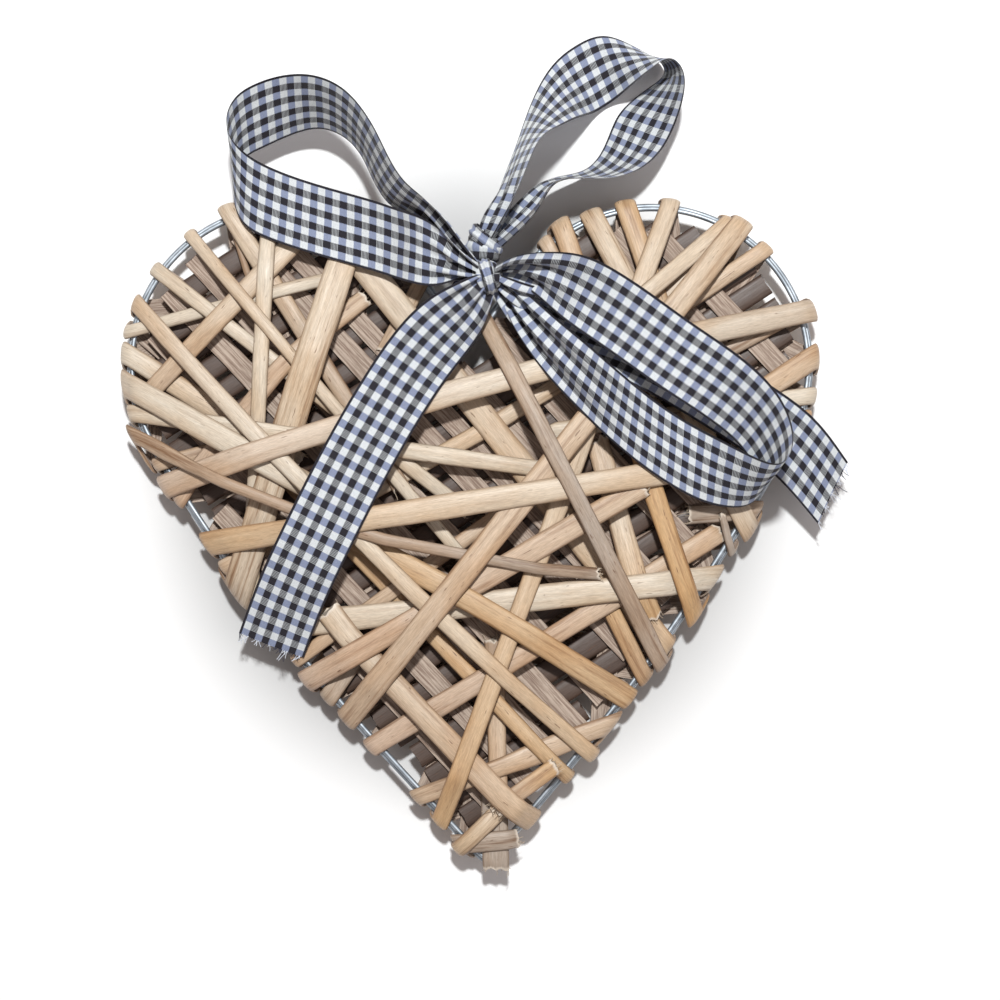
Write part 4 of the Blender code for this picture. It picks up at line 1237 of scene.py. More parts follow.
def ribbon_cloth(name, rows, wave_phase, lean):
    near, far = ribbon_edges(rows, ribbon_steps)
    stamp_ribbon(near, far)
    near, far = [softened(edge, ribbon_steps * edge_ease) for edge in (near, far)]
    middle = (near + far) / 2
    run = lengths_along(middle)
    tangent = np.gradient(middle, axis=0)
    across = far - near
    width = np.linalg.norm(across, axis=1)
    normal = unit_rows(np.cross(tangent, across))
    squeeze = np.clip(width / ribbon_width, narrowest_share, 1.0)
    depth = width / (2 * math.pi * pleats) * np.sqrt(2 * np.maximum(1 / squeeze ** 2 - 1, 0))
    depth = np.minimum(depth, deepest_pleat) * (1 - np.exp(-(1 / squeeze - 1) * 8))
    share = np.linspace(0.0, 1.0, ribbon_columns)
    vertices = []
    for k in range(len(middle)):
        drift = wave_phase + run[k] * 22.0
        wave = np.sin(2 * math.pi * pleats * share + drift) * depth[k]
        wave -= np.linspace(wave[0], wave[-1], ribbon_columns)
        bend = lean * curl * (1 - (2 * share - 1) ** 2) * (0.6 + 0.4 * math.sin(run[k] * 60))
        ripple = ripple_height * math.sin(run[k] * 210 + wave_phase)
        ripple = ripple * np.sin(share * 9 + run[k] * 80)
        vertices.append(near[k] + across[k] * share[:, None]
                        + normal[k] * (wave + bend + ripple)[:, None])
    vertices = np.concatenate(vertices) + origin_shift
    faces = quads(len(middle), ribbon_columns)
    weave = [(share[corner % ribbon_columns], run[corner // ribbon_columns] / ribbon_width)
             for face in faces for corner in face]
    mesh = bpy.data.meshes.new(name)
    mesh.from_pydata([tuple(v) for v in vertices], [], faces)
    mesh.shade_smooth()
    place = mesh.uv_layers.new(name="weave")
    place.data.foreach_set("uv", np.array(weave, dtype=np.float32).ravel())
    obj = placed_object(name, mesh)
    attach(obj, "root")
    print(name, "is", round(run[-1] * 1000), "mm long")
    return obj, float(run[-1])


tie, tie_length = ribbon_cloth("tie_band", TIE_BAND, 0.4, 0.3)
hanging, hanging_length = ribbon_cloth("hanging_loop", HANGING_LOOP, 1.1, 1.0)

# %% The bow's four runs
right_tail, right_tail_length = ribbon_cloth("bow_right_tail", RIGHT_TAIL, 2.0, 0.6)
left_tail, left_tail_length = ribbon_cloth("bow_left_tail", LEFT_TAIL, 0.2, 0.8)
right_loop, right_loop_length = ribbon_cloth("bow_right_loop", RIGHT_LOOP, 0.9, 1.0)
left_loop, left_loop_length = ribbon_cloth("bow_left_loop", LEFT_LOOP, 2.6, -1.0)

# %% [markdown]
# ### The knots
# A knot in flat ribbon is a puckered ball with one or two turns of cloth wrapped over it.
# The ball is a rounded body with pleats. Each turn is a band that follows the ball a little
# further out, at the ribbon's true scale, so its checks match the rest.

# %% A wrapped turn of ribbon
def unit(vector):
    vector = np.array(vector, dtype=float)
    return vector / np.linalg.norm(vector)


def wrapped_turn(centre, radii, pole, reach, lift, pleat_depth, phase):
    """A band round a ball: its points, faces and the place of each point in the weave."""
    pole = unit(pole)
    first = unit(np.cross(pole, (0.0, 0.0, 1.0)) if abs(pole[2]) < 0.9 else (1, 0, 0))
    second = np.cross(pole, first)
    rounds, columns = 72, 22
    size = float(np.mean(radii))
    vertices = []
    place = []
    for k in range(rounds + 1):
        turn = 2 * math.pi * k / rounds
        for c in range(columns):
            share = 2 * c / (columns - 1) - 1
            tilt = share * reach * (1 + 0.12 * math.sin(turn * 2 + phase))
            out = (math.cos(tilt) * (math.cos(turn) * first + math.sin(turn) * second)
                   + math.sin(tilt) * pole)
            grow = 1 + lift + pleat_depth * math.cos(share * 7.5 + phase + 0.8 * math.sin(turn))
            grow += 0.05 * (1 - share ** 2)
            vertices.append(centre + out * radii * grow)
            place.append((0.5 + share * reach * size / ribbon_width, turn * size / ribbon_width))
    return vertices, quads(rounds + 1, columns), place


def cloth_piece(name, parts):
    vertices, faces, weave = [], [], []
    for points, sides, place in parts:
        base = len(vertices)
        vertices += [tuple(np.array(p) + origin_shift) for p in points]
        faces += [tuple(base + i for i in side) for side in sides]
        weave += place
    mesh = bpy.data.meshes.new(name)
    mesh.from_pydata(vertices, [], faces)
    layer = mesh.uv_layers.new(name="weave")
    corner = np.array([weave[loop.vertex_index] for loop in mesh.loops], dtype=np.float32)
    layer.data.foreach_set("uv", corner.ravel())
    mesh.shade_smooth()
    obj = placed_object(name, mesh)
    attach(obj, "root")
    return obj


def knot_ball(centre, radii, pleats_round, depth, phase):
    columns, rows = 56, 28
    vertices = []
    place = []
    size = float(np.mean(radii))
    for r in range(rows + 1):
        lift = math.pi * min(max(r / rows, 0.002), 0.998)
        for c in range(columns):
            turn = 2 * math.pi * c / columns
            out = np.array([math.sin(lift) * math.cos(turn), math.cos(lift),
                            math.sin(lift) * math.sin(turn)])
            grow = 1 + depth * math.sin(turn * pleats_round + phase + 1.3 * math.cos(lift * 2))
            vertices.append(centre + out * radii * grow)
            place.append((turn * size / ribbon_width, lift * size / ribbon_width))
    return vertices, quads(rows + 1, columns, closed=True), place


trial_turn = wrapped_turn(np.zeros(3), np.ones(3), (0, 1, 0), 0.5, 0, 0, 0)
print("a wrapped turn has", len(trial_turn[0]), "points")

# %% Tie both knots
top_knot_level = 0.0070
bow_knot_level = 0.0126
top_middle = np.array([*plan_point(*KNOT_TOP), top_knot_level])
top_radii = np.array([0.0046, 0.0054, knot_height / 2])
bow_middle = np.array([*plan_point(*KNOT_BOW), bow_knot_level])
bow_radii = np.array([0.0040, 0.0043, 0.0050])
top_knot = cloth_piece("overhand_knot", [
    knot_ball(top_middle, top_radii * 0.95, 9, 0.07, 0.3),
    wrapped_turn(top_middle, top_radii, (0.10, 1.0, 0.1), 0.62, 0.03, 0.035, 0.5),
    wrapped_turn(top_middle + np.array([0.0004, 0.0020, 0.0006]), top_radii * 0.92,
                 (0.55, 0.85, 0.12), 0.40, 0.12, 0.05, 2.1)])
bow_knot = cloth_piece("bow_knot", [
    knot_ball(bow_middle, bow_radii * 0.96, 11, 0.09, 1.2),
    wrapped_turn(bow_middle, bow_radii, (0.95, 0.30, 0.0), 0.36, 0.10, 0.05, 0.2)])
print("knots", len(top_knot.data.polygons), len(bow_knot.data.polygons), "faces")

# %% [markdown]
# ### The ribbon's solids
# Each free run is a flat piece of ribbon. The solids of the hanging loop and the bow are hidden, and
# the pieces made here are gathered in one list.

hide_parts("ribbon_hanging")
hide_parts("ribbon_hanging")
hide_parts("ribbon_hanging")
for piece in (right_tail, left_tail, right_loop, left_loop, bow_knot):
    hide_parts("ribbon_bow")
ribbon_pieces = [hanging, tie, top_knot, right_tail, left_tail, right_loop, left_loop, bow_knot]

# %% [markdown]
# ## Small tools for finishes
# Every finish below is a node tree. A few helpers keep them readable: they add a node with
# its settings, do arithmetic, mix and tint colours, and make a group with named sockets.

# %% Node helpers
def add_node(tree, kind, **settings):
    node = tree.nodes.new(kind)
    for key, value in settings.items():
        setattr(node, key, value)
    return node


def feed(tree, value, socket):
    if isinstance(value, bpy.types.NodeSocket):
        tree.links.new(value, socket)
    else:
        socket.default_value = value


def sums(tree, operation, first, second=0.0):
    node = add_node(tree, "ShaderNodeMath", operation=operation)
    feed(tree, first, node.inputs[0])
    feed(tree, second, node.inputs[1])
    return node.outputs[0]


def times(tree, first, second):
    return sums(tree, "MULTIPLY", first, second)


def plus(tree, first, second):
    return sums(tree, "ADD", first, second)


def blend_colours(tree, share, first, second, how="MIX"):
    node = add_node(tree, "ShaderNodeMix", data_type="RGBA", blend_type=how)
    feed(tree, share, node.inputs["Factor"])
    feed(tree, first, node.inputs["A"])
    feed(tree, second, node.inputs["B"])
    return node.outputs["Result"]


def ramped(tree, value, low, high, to_low=0.0, to_high=1.0):
    node = add_node(tree, "ShaderNodeMapRange", interpolation_type="SMOOTHSTEP")
    feed(tree, value, node.inputs["Value"])
    for key, number in (("From Min", low), ("From Max", high), ("To Min", to_low),
                        ("To Max", to_high)):
        node.inputs[key].default_value = number
    return node.outputs["Result"]


def new_group(name, inputs, outputs):
    tree = bpy.data.node_groups.new(name, "ShaderNodeTree")
    for label, kind, value in inputs:
        socket = tree.interface.new_socket(label, in_out="INPUT", socket_type=kind)
        if value is not None:
            socket.default_value = value
    for label, kind in outputs:
        tree.interface.new_socket(label, in_out="OUTPUT", socket_type=kind)
    return tree, tree.nodes.new("NodeGroupInput").outputs, tree.nodes.new("NodeGroupOutput").inputs


def noise(tree, place, scale, detail=2.0, roughness=0.5):
    node = add_node(tree, "ShaderNodeTexNoise")
    feed(tree, place, node.inputs["Vector"])
    node.inputs["Scale"].default_value = scale
    node.inputs["Detail"].default_value = detail
    node.inputs["Roughness"].default_value = roughness
    return node.outputs["Fac"]


def greyed(tree, value):
    """One value as a grey colour."""
    join = add_node(tree, "ShaderNodeCombineColor")
    for channel in range(3):
        feed(tree, value, join.inputs[channel])
    return join.outputs[0]


def multiplied(tree, first, second):
    return blend_colours(tree, 1.0, first, second, "MULTIPLY")


def tinted(tree, share, colour, tint):
    """A colour that is tinted by a share."""
    return blend_colours(tree, share, colour, multiplied(tree, colour, (*tint, 1)))


def bumped(tree, group, shader, strength, distance):
    """Let the height and the colour of a group drive a surface."""
    bump = add_node(tree, "ShaderNodeBump")
    bump.inputs["Strength"].default_value = strength
    bump.inputs["Distance"].default_value = distance
    feed(tree, group.outputs["Height"], bump.inputs["Height"])
    feed(tree, group.outputs["Colour"], shader.inputs["Base Color"])
    feed(tree, bump.outputs["Normal"], shader.inputs["Normal"])


def new_finish(name):
    """A new material with its node tree and its surface node."""
    material = bpy.data.materials.new(name)
    material.use_nodes = True
    return material, material.node_tree, material.node_tree.nodes["Principled BSDF"]


def screen(colour):
    return (*[float(c) for c in linear(colour)], 1.0)


VECTOR, FLOAT, COLOUR = "NodeSocketVector", "NodeSocketFloat", "NodeSocketColor"
print("a mid grey on screen is", round(screen((0.5, 0.5, 0.5))[0], 3), "as light")

# %% [markdown]
# ## Willow
# Peeled willow is pale and smooth with long grain. Fine lines run along it, and broader
# streaks come and go. Towards its split edges it is painted darker, a painted shade where the
# rounded strip turns away from the light. The pith face is dull, pink-brown and furrowed,
# with pale flecks. The grain reads the notes on each strip, so it follows every bend and fold.

# %% Wood grain as a group
def grain_group():
    tree, given, result = new_group(
        "Willow grain",
        [("Place", VECTOR, None), ("Wood colour", COLOUR, None), ("Side", FLOAT, 0.0),
         ("Pith", FLOAT, 0.0), ("Cut end", FLOAT, 0.0), ("Streak strength", FLOAT, 0.5)],
        [("Colour", COLOUR), ("Roughness", FLOAT), ("Height", FLOAT)])
    split = add_node(tree, "ShaderNodeSeparateXYZ")
    feed(tree, given["Place"], split.inputs[0])
    along, over, seed = split.outputs

    def stretched(per_along, per_over, shift):
        join = add_node(tree, "ShaderNodeCombineXYZ")
        feed(tree, times(tree, along, per_along), join.inputs[0])
        feed(tree, times(tree, over, per_over), join.inputs[1])
        feed(tree, plus(tree, seed, shift), join.inputs[2])
        return join.outputs[0]

    fine = noise(tree, stretched(420.0, 4200.0, 1.0), 1.0, 3.0, 0.65)
    fibre = noise(tree, stretched(110.0, 2100.0, 5.0), 1.0, 4.0, 0.65)
    streak = noise(tree, stretched(30.0, 620.0, 9.0), 1.0, 4.0, 0.6)
    patch = noise(tree, stretched(38.0, 110.0, 13.0), 1.0, 2.0, 0.5)
    fleck = noise(tree, stretched(260.0, 1500.0, 17.0), 1.0, 2.0, 0.5)
    colour = given["Wood colour"]
    warm = tinted(tree, ramped(tree, patch, 0.42, 0.72, 0.0, 0.60), colour, (0.86, 0.70, 0.53))
    pale = tinted(tree, ramped(tree, streak, 0.50, 0.74, 0.0, 0.60), warm, (1.20, 1.27, 1.36))
    dark_streak = times(tree, ramped(tree, streak, 0.50, 0.28), given["Streak strength"])
    streaked = tinted(tree, dark_streak, pale, (0.52, 0.41, 0.33))
    lines = ramped(tree, fibre, 0.45, 0.30, 0.0, 0.34)
    lined = tinted(tree, lines, streaked, (0.50, 0.41, 0.34))
    mottle = ramped(tree, fine, 0.36, 0.66, 0.86, 1.07)
    mottled = multiplied(tree, lined, greyed(tree, mottle))
    # Painted shade: the colour darkens towards both split edges, where the rounded section turns away
    # from the light.
    edge = ramped(tree, sums(tree, "ABSOLUTE", given["Side"]), 0.78, 1.0, 0.0, 0.62)
    edge_shaded = tinted(tree, edge, mottled, (0.42, 0.32, 0.25))
    spot = ramped(tree, fleck, 0.68, 0.76, 0.0, 0.7)
    spotted = blend_colours(tree, spot, edge_shaded, screen((0.38, 0.25, 0.17)))
    dull = blend_colours(tree, ramped(tree, fibre, 0.36, 0.66), screen((0.53, 0.45, 0.40)),
                         screen((0.75, 0.68, 0.62)))
    flecked = blend_colours(tree, ramped(tree, fine, 0.66, 0.78, 0.0, 0.8), dull,
                            screen((0.82, 0.79, 0.75)))
    faced = blend_colours(tree, given["Pith"], spotted, flecked)
    torn = ramped(tree, plus(tree, given["Cut end"], times(tree, fibre, 0.5)),
                  0.78, 1.15, 0.0, 0.85)
    ended = blend_colours(tree, torn, faced, screen((0.84, 0.79, 0.73)))
    feed(tree, ended, result["Colour"])
    rough = plus(tree, ramped(tree, fibre, 0.3, 0.7, 0.52, 0.38), times(tree, given["Pith"], 0.38))
    feed(tree, rough, result["Roughness"])
    relief = plus(tree, times(tree, fibre, 0.6), times(tree, fine, 0.4))
    furrow = times(tree, relief, plus(tree, times(tree, given["Pith"], 2.2), 1.0))
    feed(tree, furrow, result["Height"])
    return tree


willow_grain = grain_group()
print("the grain group has", len(willow_grain.nodes), "nodes")

# %% [markdown]
# ### One finish for each kind of strip
# All strips share the grain, but not its strength: fibrous rods are streaky, and clean
# peeled ones are nearly even. So there are three willow finishes with the same group.

# %% Willow finishes
def willow_finish(name, streaks, gloss):
    material, tree, shader = new_finish(name)
    group = add_node(tree, "ShaderNodeGroup", node_tree=willow_grain)
    for socket, note, output in (("Place", "grain_place", "Vector"),
                                 ("Wood colour", "wood_colour", "Color"),
                                 ("Side", "side", "Fac"), ("Pith", "pith", "Fac"),
                                 ("Cut end", "cut_end", "Fac")):
        reader = add_node(tree, "ShaderNodeAttribute", attribute_name=note)
        feed(tree, reader.outputs[output], group.inputs[socket])
    group.inputs["Streak strength"].default_value = streaks
    bumped(tree, group, shader, 0.55, 0.00016)
    feed(tree, group.outputs["Roughness"], shader.inputs["Roughness"])
    shader.inputs["Specular IOR Level"].default_value = gloss
    return material


WOOD_FINISHES = {
    "clean": willow_finish("willow_peeled", 0.35, 0.42),
    "streaky": willow_finish("willow_streaky", 0.75, 0.36),
    "fibrous": willow_finish("willow_fibrous", 1.0, 0.28),
}
for strip in willow_strips:
    tones = STRIP_TONES[strip.name[len("willow_"):]].split()
    if "grey" in tones or tones.count("brown") > 1:
        kind = "fibrous"
    elif "cream" in tones or tones.count("light") > 1:
        kind = "clean"
    else:
        kind = "streaky"
    strip.data.materials.append(WOOD_FINISHES[kind])
print({key: material.users for key, material in WOOD_FINISHES.items()})

# %% [markdown]
# ## Gingham
# Gingham is a plain weave of bands. Warp threads run along the ribbon in bands of black and
# white, and weft threads cross them in bands of blue-black and white. White over white
# stays white, and dark over dark is nearly black. Where they differ the threads mix: pale
# blue where the warp is white, and finely lined where the warp is black. A dark selvedge
# closes both edges.

# %% Gingham as a group
def gingham_group():
    tree, given, result = new_group(
        "Gingham weave",
        [("Weave place", VECTOR, None), ("Ribbon width", FLOAT, 19.0), ("Check", FLOAT, 1.97),
         ("Check along", FLOAT, 2.12), ("Selvedge", FLOAT, 0.66), ("Thread", FLOAT, 0.38),
         ("White", COLOUR, None), ("Warp dark", COLOUR, None), ("Pale blue", COLOUR, None)],
        [("Colour", COLOUR), ("Height", FLOAT)])
    split = add_node(tree, "ShaderNodeSeparateXYZ")
    feed(tree, given["Weave place"], split.inputs[0])
    over = times(tree, split.outputs[0], given["Ribbon width"])
    along = times(tree, split.outputs[1], given["Ribbon width"])
    weft_turn = times(tree, sums(tree, "DIVIDE", along, given["Thread"]), math.tau)
    warp_turn = times(tree, sums(tree, "DIVIDE", over, given["Thread"]), math.tau * 1.35)
    weft_wave = sums(tree, "SINE", weft_turn)
    warp_wave = sums(tree, "SINE", warp_turn)
    wobble = times(tree, weft_wave, 0.09)
    inside = plus(tree, sums(tree, "SUBTRACT", over, given["Selvedge"]), wobble)
    double = times(tree, given["Check"], 2.0)
    warp_place = sums(tree, "DIVIDE", sums(tree, "FLOORED_MODULO", inside, double), double)
    warp_dark = sums(tree, "GREATER_THAN", warp_place, 0.5)
    drift = times(tree, warp_wave, 0.08)
    double_along = times(tree, given["Check along"], 2.0)
    drifting = sums(tree, "FLOORED_MODULO", plus(tree, along, drift), double_along)
    weft_place = sums(tree, "DIVIDE", drifting, double_along)
    weft_dark = sums(tree, "GREATER_THAN", weft_place, 0.5)
    half = times(tree, given["Ribbon width"], 0.5)
    from_middle = sums(tree, "ABSOLUTE", sums(tree, "SUBTRACT", over, half))
    from_edge = sums(tree, "SUBTRACT", half, from_middle)
    scalloped = plus(tree, sums(tree, "SUBTRACT", given["Selvedge"], from_edge),
                     times(tree, weft_wave, 0.10))
    selvedge = ramped(tree, scalloped, 0.0, 0.10)
    crossing = times(tree, weft_wave, warp_wave)
    stripe = ramped(tree, plus(tree, weft_wave, times(tree, crossing, 0.5)), -0.30, 0.80, 0.0, 0.66)
    lined = blend_colours(tree, stripe, given["Warp dark"], given["White"])
    warp_pale = blend_colours(tree, weft_dark, given["White"], given["Pale blue"])
    warp_deep = blend_colours(tree, weft_dark, lined, given["Warp dark"])
    body = blend_colours(tree, warp_dark, warp_pale, warp_deep)
    cloth = blend_colours(tree, selvedge, body, given["Warp dark"])
    worn = noise(tree, given["Weave place"], 46.0, 3.0, 0.6)
    thready = times(tree, plus(tree, weft_wave, crossing), 0.06)
    shade = plus(tree, ramped(tree, worn, 0.3, 0.7, 0.84, 1.0), thready)
    feed(tree, multiplied(tree, cloth, greyed(tree, shade)), result["Colour"])
    threads = plus(tree, times(tree, weft_wave, 0.5), times(tree, crossing, 0.5))
    feed(tree, plus(tree, threads, times(tree, selvedge, 0.8)), result["Height"])
    return tree


gingham = gingham_group()
print("the gingham group has", len(gingham.nodes), "nodes")

# %% Ribbon finish
def ribbon_finish(name):
    material, tree, shader = new_finish(name)
    place = add_node(tree, "ShaderNodeUVMap", uv_map="weave")
    group = add_node(tree, "ShaderNodeGroup", node_tree=gingham)
    feed(tree, place.outputs["UV"], group.inputs["Weave place"])
    group.inputs["White"].default_value = screen((0.86, 0.875, 0.885))
    group.inputs["Warp dark"].default_value = screen((0.15, 0.14, 0.17))
    group.inputs["Pale blue"].default_value = screen((0.55, 0.585, 0.69))
    bumped(tree, group, shader, 0.5, 0.00012)
    for key, value in (("Roughness", 0.72), ("Specular IOR Level", 0.25),
                       ("Sheen Weight", 0.25), ("Sheen Roughness", 0.4)):
        shader.inputs[key].default_value = value
    return material


ribbon_material = ribbon_finish("gingham_ribbon")
for piece in ribbon_pieces:
    piece.data.materials.append(ribbon_material)
print(len(ribbon_pieces), "pieces of ribbon")

# %% [markdown]
# ## Galvanised wire
# Zinc on steel wire is bright but not a mirror. It has a faint crystalline mottle and a few
# dull patches where strips were pulled over it.

# %% Wire finish
def wire_finish(material):
    material.use_nodes = True
    tree = material.node_tree
    shader = tree.nodes["Principled BSDF"]
    place = add_node(tree, "ShaderNodeTexCoord").outputs["Object"]
    mottle = noise(tree, place, 320.0, 2.0, 0.5)
    patch = noise(tree, place, 120.0, 2.0, 0.5)
    colour = blend_colours(tree, ramped(tree, mottle, 0.35, 0.65), screen((0.60, 0.63, 0.66)),
                           screen((0.72, 0.75, 0.78)))
    feed(tree, colour, shader.inputs["Base Color"])
    feed(tree, ramped(tree, patch, 0.4, 0.65, 0.48, 0.58), shader.inputs["Roughness"])
    shader.inputs["Metallic"].default_value = 0.85


wire_finish(galvanised)
print("the wire finish has", len(galvanised.node_tree.nodes), "nodes")

# %% [markdown]
# ## Splinters and frayed threads
# Willow that is cut across leaves fine fibres standing out of the end, and a cut ribbon
# sheds threads. Both are grown by one node tree. It is given loose points with three notes:
# which way the fibre leans, how long it is, and its colour. It puts a thin curved fibre on
# each point and turns it the way it leans.

# %% A node tree that grows fibres
def fibre_tree():
    tree, start, end = shape_tree("Fibres on roots", [
        ("Fibre radius", "Float"), ("Sideways curl", "Float"), ("Seed", "Int"),
        ("Finish", "Material")])
    nodes, link = tree.nodes, tree.links.new
    roots = nodes.new("GeometryNodeMeshToPoints")
    link(start.outputs["Geometry"], roots.inputs["Mesh"])

    bend = nodes.new("GeometryNodeCurveQuadraticBezier")
    bend.inputs["Resolution"].default_value = 5
    bend.inputs["Start"].default_value = (0.0, 0.0, -0.1)
    bend.inputs["Middle"].default_value = (0.0, 0.0, 0.55)
    tip = nodes.new("ShaderNodeCombineXYZ")
    link(start.outputs["Sideways curl"], tip.inputs["X"])
    tip.inputs["Z"].default_value = 1.0
    link(tip.outputs["Vector"], bend.inputs["End"])
    along = nodes.new("GeometryNodeSplineParameter")
    taper = nodes.new("ShaderNodeMapRange")
    taper.inputs["To Min"].default_value = 1.0
    taper.inputs["To Max"].default_value = 0.25
    link(along.outputs["Factor"], taper.inputs["Value"])
    thin = nodes.new("GeometryNodeSetCurveRadius")
    link(bend.outputs["Curve"], thin.inputs["Curve"])
    link(taper.outputs["Result"], thin.inputs["Radius"])
    round_section = nodes.new("GeometryNodeCurvePrimitiveCircle")
    round_section.inputs["Resolution"].default_value = 5
    link(start.outputs["Fibre radius"], round_section.inputs["Radius"])
    sweep = nodes.new("GeometryNodeCurveToMesh")
    sweep.inputs["Fill Caps"].default_value = True
    link(thin.outputs["Curve"], sweep.inputs["Curve"])
    link(round_section.outputs["Curve"], sweep.inputs["Profile Curve"])

    lean = nodes.new("GeometryNodeInputNamedAttribute")
    lean.data_type = "FLOAT_VECTOR"
    lean.inputs["Name"].default_value = "lean"
    aim = nodes.new("FunctionNodeAlignRotationToVector")
    link(lean.outputs["Attribute"], aim.inputs["Vector"])
    reach = nodes.new("GeometryNodeInputNamedAttribute")
    reach.data_type = "FLOAT"
    reach.inputs["Name"].default_value = "reach"
    size = nodes.new("ShaderNodeCombineXYZ")
    size.inputs["X"].default_value = 1.0
    size.inputs["Y"].default_value = 1.0
    link(reach.outputs["Attribute"], size.inputs["Z"])
    place = nodes.new("GeometryNodeInstanceOnPoints")
    link(roots.outputs["Points"], place.inputs["Points"])
    link(sweep.outputs["Mesh"], place.inputs["Instance"])
    link(aim.outputs["Rotation"], place.inputs["Rotation"])
    link(size.outputs["Vector"], place.inputs["Scale"])

    chance = nodes.new("FunctionNodeRandomValue")
    chance.data_type = "FLOAT"
    chance.inputs[3].default_value = math.tau
    link(start.outputs["Seed"], chance.inputs["Seed"])
    spin = nodes.new("ShaderNodeCombineXYZ")
    link(chance.outputs[1], spin.inputs["Z"])
    turned = nodes.new("GeometryNodeRotateInstances")
    link(place.outputs["Instances"], turned.inputs["Instances"])
    link(spin.outputs["Vector"], turned.inputs["Rotation"])
    finish_tree(tree, start, turned.outputs["Instances"], end)
    return tree


fibres = fibre_tree()
print("the fibre tree has", len(fibres.nodes), "nodes")

# %% Grow fibres from a list of roots
def grow_fibres(name, roots, radius, sideways, seed, material):
    """Roots are rows of place, lean, reach and colour."""
    mesh = bpy.data.meshes.new(name)
    mesh.from_pydata([tuple(r[0]) for r in roots], [], [])
    add_note(mesh, "lean", "FLOAT_VECTOR", np.array([r[1] for r in roots]))
    add_note(mesh, "reach", "FLOAT", np.array([r[2] for r in roots]))
    add_note(mesh, "tone", "FLOAT_COLOR", np.array([[*r[3], 1.0] for r in roots]))
    grown = made_real(placed_object(name, mesh), fibres,
                      {"Fibre radius": radius, "Sideways curl": sideways, "Seed": seed,
                       "Finish": material}, name)
    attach(grown, "root")
    print(name, len(roots), "fibres,", len(grown.data.polygons), "faces")


def toned_finish(name, roughness):
    material, tree, shader = new_finish(name)
    reader = add_node(tree, "ShaderNodeAttribute", attribute_name="tone")
    feed(tree, reader.outputs["Color"], shader.inputs["Base Color"])
    shader.inputs["Roughness"].default_value = roughness
    return material


fibre_finish = toned_finish("willow_fibre", 0.75)
thread_finish = toned_finish("cotton_thread", 0.8)

# %% Splinters at the cut ends
splinter_radius = 0.00008
splinter_reach = 0.0010
splinter_curl = 0.0003
splinter_sway = 0.22
few_splinters, many_splinters = 5, 12
splinter_rng = np.random.default_rng(77)
splinters = []
for ring, outward, number in cut_ends:
    kind = STRIP_TONES[STRIP_ROWS[number][0]]
    wanted = many_splinters if "grey" in kind or "brown" in kind else few_splinters
    forward = unit(outward.mean(axis=0))
    colour = linear(WOOD["light"])
    for _ in range(wanted):
        column = splinter_rng.uniform(0, len(ring) - 1.001)
        first = int(column)
        root = ring[first] + (ring[first + 1] - ring[first]) * (column - first)
        sway = splinter_rng.normal(0.0, splinter_sway, 3)
        sway[2] *= 0.6
        splinters.append((root, unit(forward + sway),
                          splinter_reach * splinter_rng.gamma(2.0, 0.5),
                          colour * splinter_rng.uniform(0.55, 1.05)))
grow_fibres("willow_splinters", splinters, splinter_radius, splinter_curl, 5, fibre_finish)

# %% Threads at the ribbon's cut ends
thread_radius = 0.00009
thread_reach = 0.0011
thread_curl = 0.0004
thread_sway = 0.28
threads_a_tail = 46
thread_rng = np.random.default_rng(91)
threads = []
for tail in (left_tail, right_tail):
    corners = np.array([v.co for v in tail.data.vertices])
    edge = corners[-ribbon_columns:]
    forward = unit((edge - corners[-2 * ribbon_columns:-ribbon_columns]).mean(axis=0))
    for _ in range(threads_a_tail):
        column = thread_rng.uniform(0, ribbon_columns - 1.001)
        first = int(column)
        root = edge[first] + (edge[first + 1] - edge[first]) * (column - first)
        white = math.floor((column / ribbon_columns * ribbon_width * 1000 - 0.66) / 1.97) % 2 == 0
        colour = linear((0.86, 0.88, 0.92) if white else (0.20, 0.21, 0.28))
        sway = thread_rng.normal(0.0, thread_sway, 3)
        sway[2] = abs(sway[2]) * 0.4
        threads.append((root, unit(forward + sway), thread_reach * thread_rng.gamma(2.0, 0.5),
                        colour))
grow_fibres("ribbon_threads", threads, thread_radius, thread_curl, 8, thread_finish)
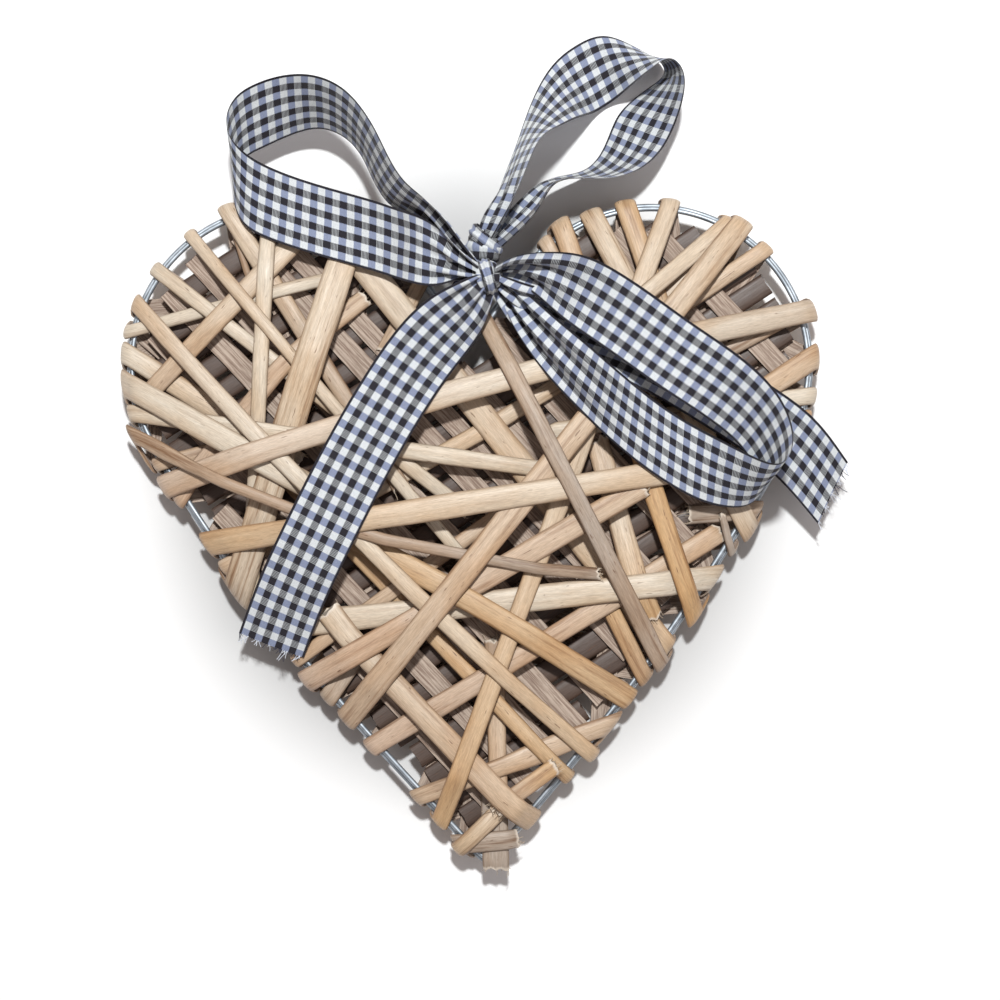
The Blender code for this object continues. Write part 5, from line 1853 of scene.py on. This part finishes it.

# %% [markdown]
# ## Floor, light and camera
# The heart lies on a plain pale surface and is looked at from straight above. A small,
# high lamp beyond the cleft throws short, crisp shadows towards the tip, and a faint warm
# surrounding light fills them. The surface's colour is painted grey near the heart and white
# further out: a painted shade round the heart.

# %% Floor
floor_level = -0.0002
floor_half = 3.0
# Painted shade: the floor's colour darkens to grey round the heart and turns white further out.
painted_shade_middle = (-0.0034, -0.0090, 0.0)
painted_shade_reach, white_reach = 0.066, 0.108
painted_shade_floor, white_floor = 0.55, 0.97
floor_mesh = bpy.data.meshes.new("pale_floor")
floor_corners = [(x * floor_half, y * floor_half, floor_level)
                 for x, y in ((-1, -1), (1, -1), (1, 1), (-1, 1))]
floor_mesh.from_pydata(floor_corners, [], [(0, 1, 2, 3)])
floor = placed_object("pale_floor", floor_mesh)
floor_finish, floor_tree, floor_shader = new_finish("pale_floor")
floor_place = add_node(floor_tree, "ShaderNodeTexCoord").outputs["Object"]
from_heart = add_node(floor_tree, "ShaderNodeVectorMath", operation="DISTANCE")
feed(floor_tree, floor_place, from_heart.inputs[0])
from_heart.inputs[1].default_value = painted_shade_middle
paleness = ramped(floor_tree, from_heart.outputs["Value"], painted_shade_reach, white_reach,
                  painted_shade_floor, white_floor)
feed(floor_tree, greyed(floor_tree, paleness), floor_shader.inputs["Base Color"])
floor_shader.inputs["Roughness"].default_value = 0.9
floor_mesh.materials.append(floor_finish)
print("floor is", round(float(floor.dimensions.x)), "m wide")

# %% Light
def add_lamp(name, place, target, width, power, colour):
    lamp = bpy.data.lights.new(name, "AREA")
    lamp.shape = "SQUARE"
    lamp.size = width
    lamp.energy = power
    lamp.color = colour
    obj = placed_object(name, lamp)
    obj.location = place
    aim = np.array(target) - np.array(place)
    obj.rotation_euler = Vector(aim).to_track_quat("-Z", "Y").to_euler()


add_lamp("main_lamp", (0.02, 0.35, 0.94), (0.0, 0.0, 0.0), 0.06, 10.4, (0.98, 1.0, 1.0))
add_lamp("side_lamp", (0.55, -0.15, 0.90), (0.0, 0.0, 0.0), 0.60, 0.9, (1.0, 0.97, 0.95))
world = bpy.data.worlds.new("pale_surroundings")
world.use_nodes = True
world.node_tree.nodes["Background"].inputs["Color"].default_value = (1.0, 0.91, 0.90, 1)
world.node_tree.nodes["Background"].inputs["Strength"].default_value = 0.27
bpy.context.scene.world = world
bpy.context.scene.view_settings.view_transform = "Standard"

# %% Camera
picture_span = 1000 * drawing_unit
picture_middle = plan_point(500, 500)
camera_height = 0.62
focus_level = 0.012
camera = bpy.data.cameras.new("camera")
camera.sensor_width = 36.0
camera.lens = 36.0 * (camera_height - focus_level) / picture_span
viewer = placed_object("camera", camera)
viewer.location = (picture_middle[0] + origin_shift[0], picture_middle[1] + origin_shift[1],
                   camera_height)
bpy.context.scene.camera = viewer
print("lens", round(camera.lens, 1), "mm")
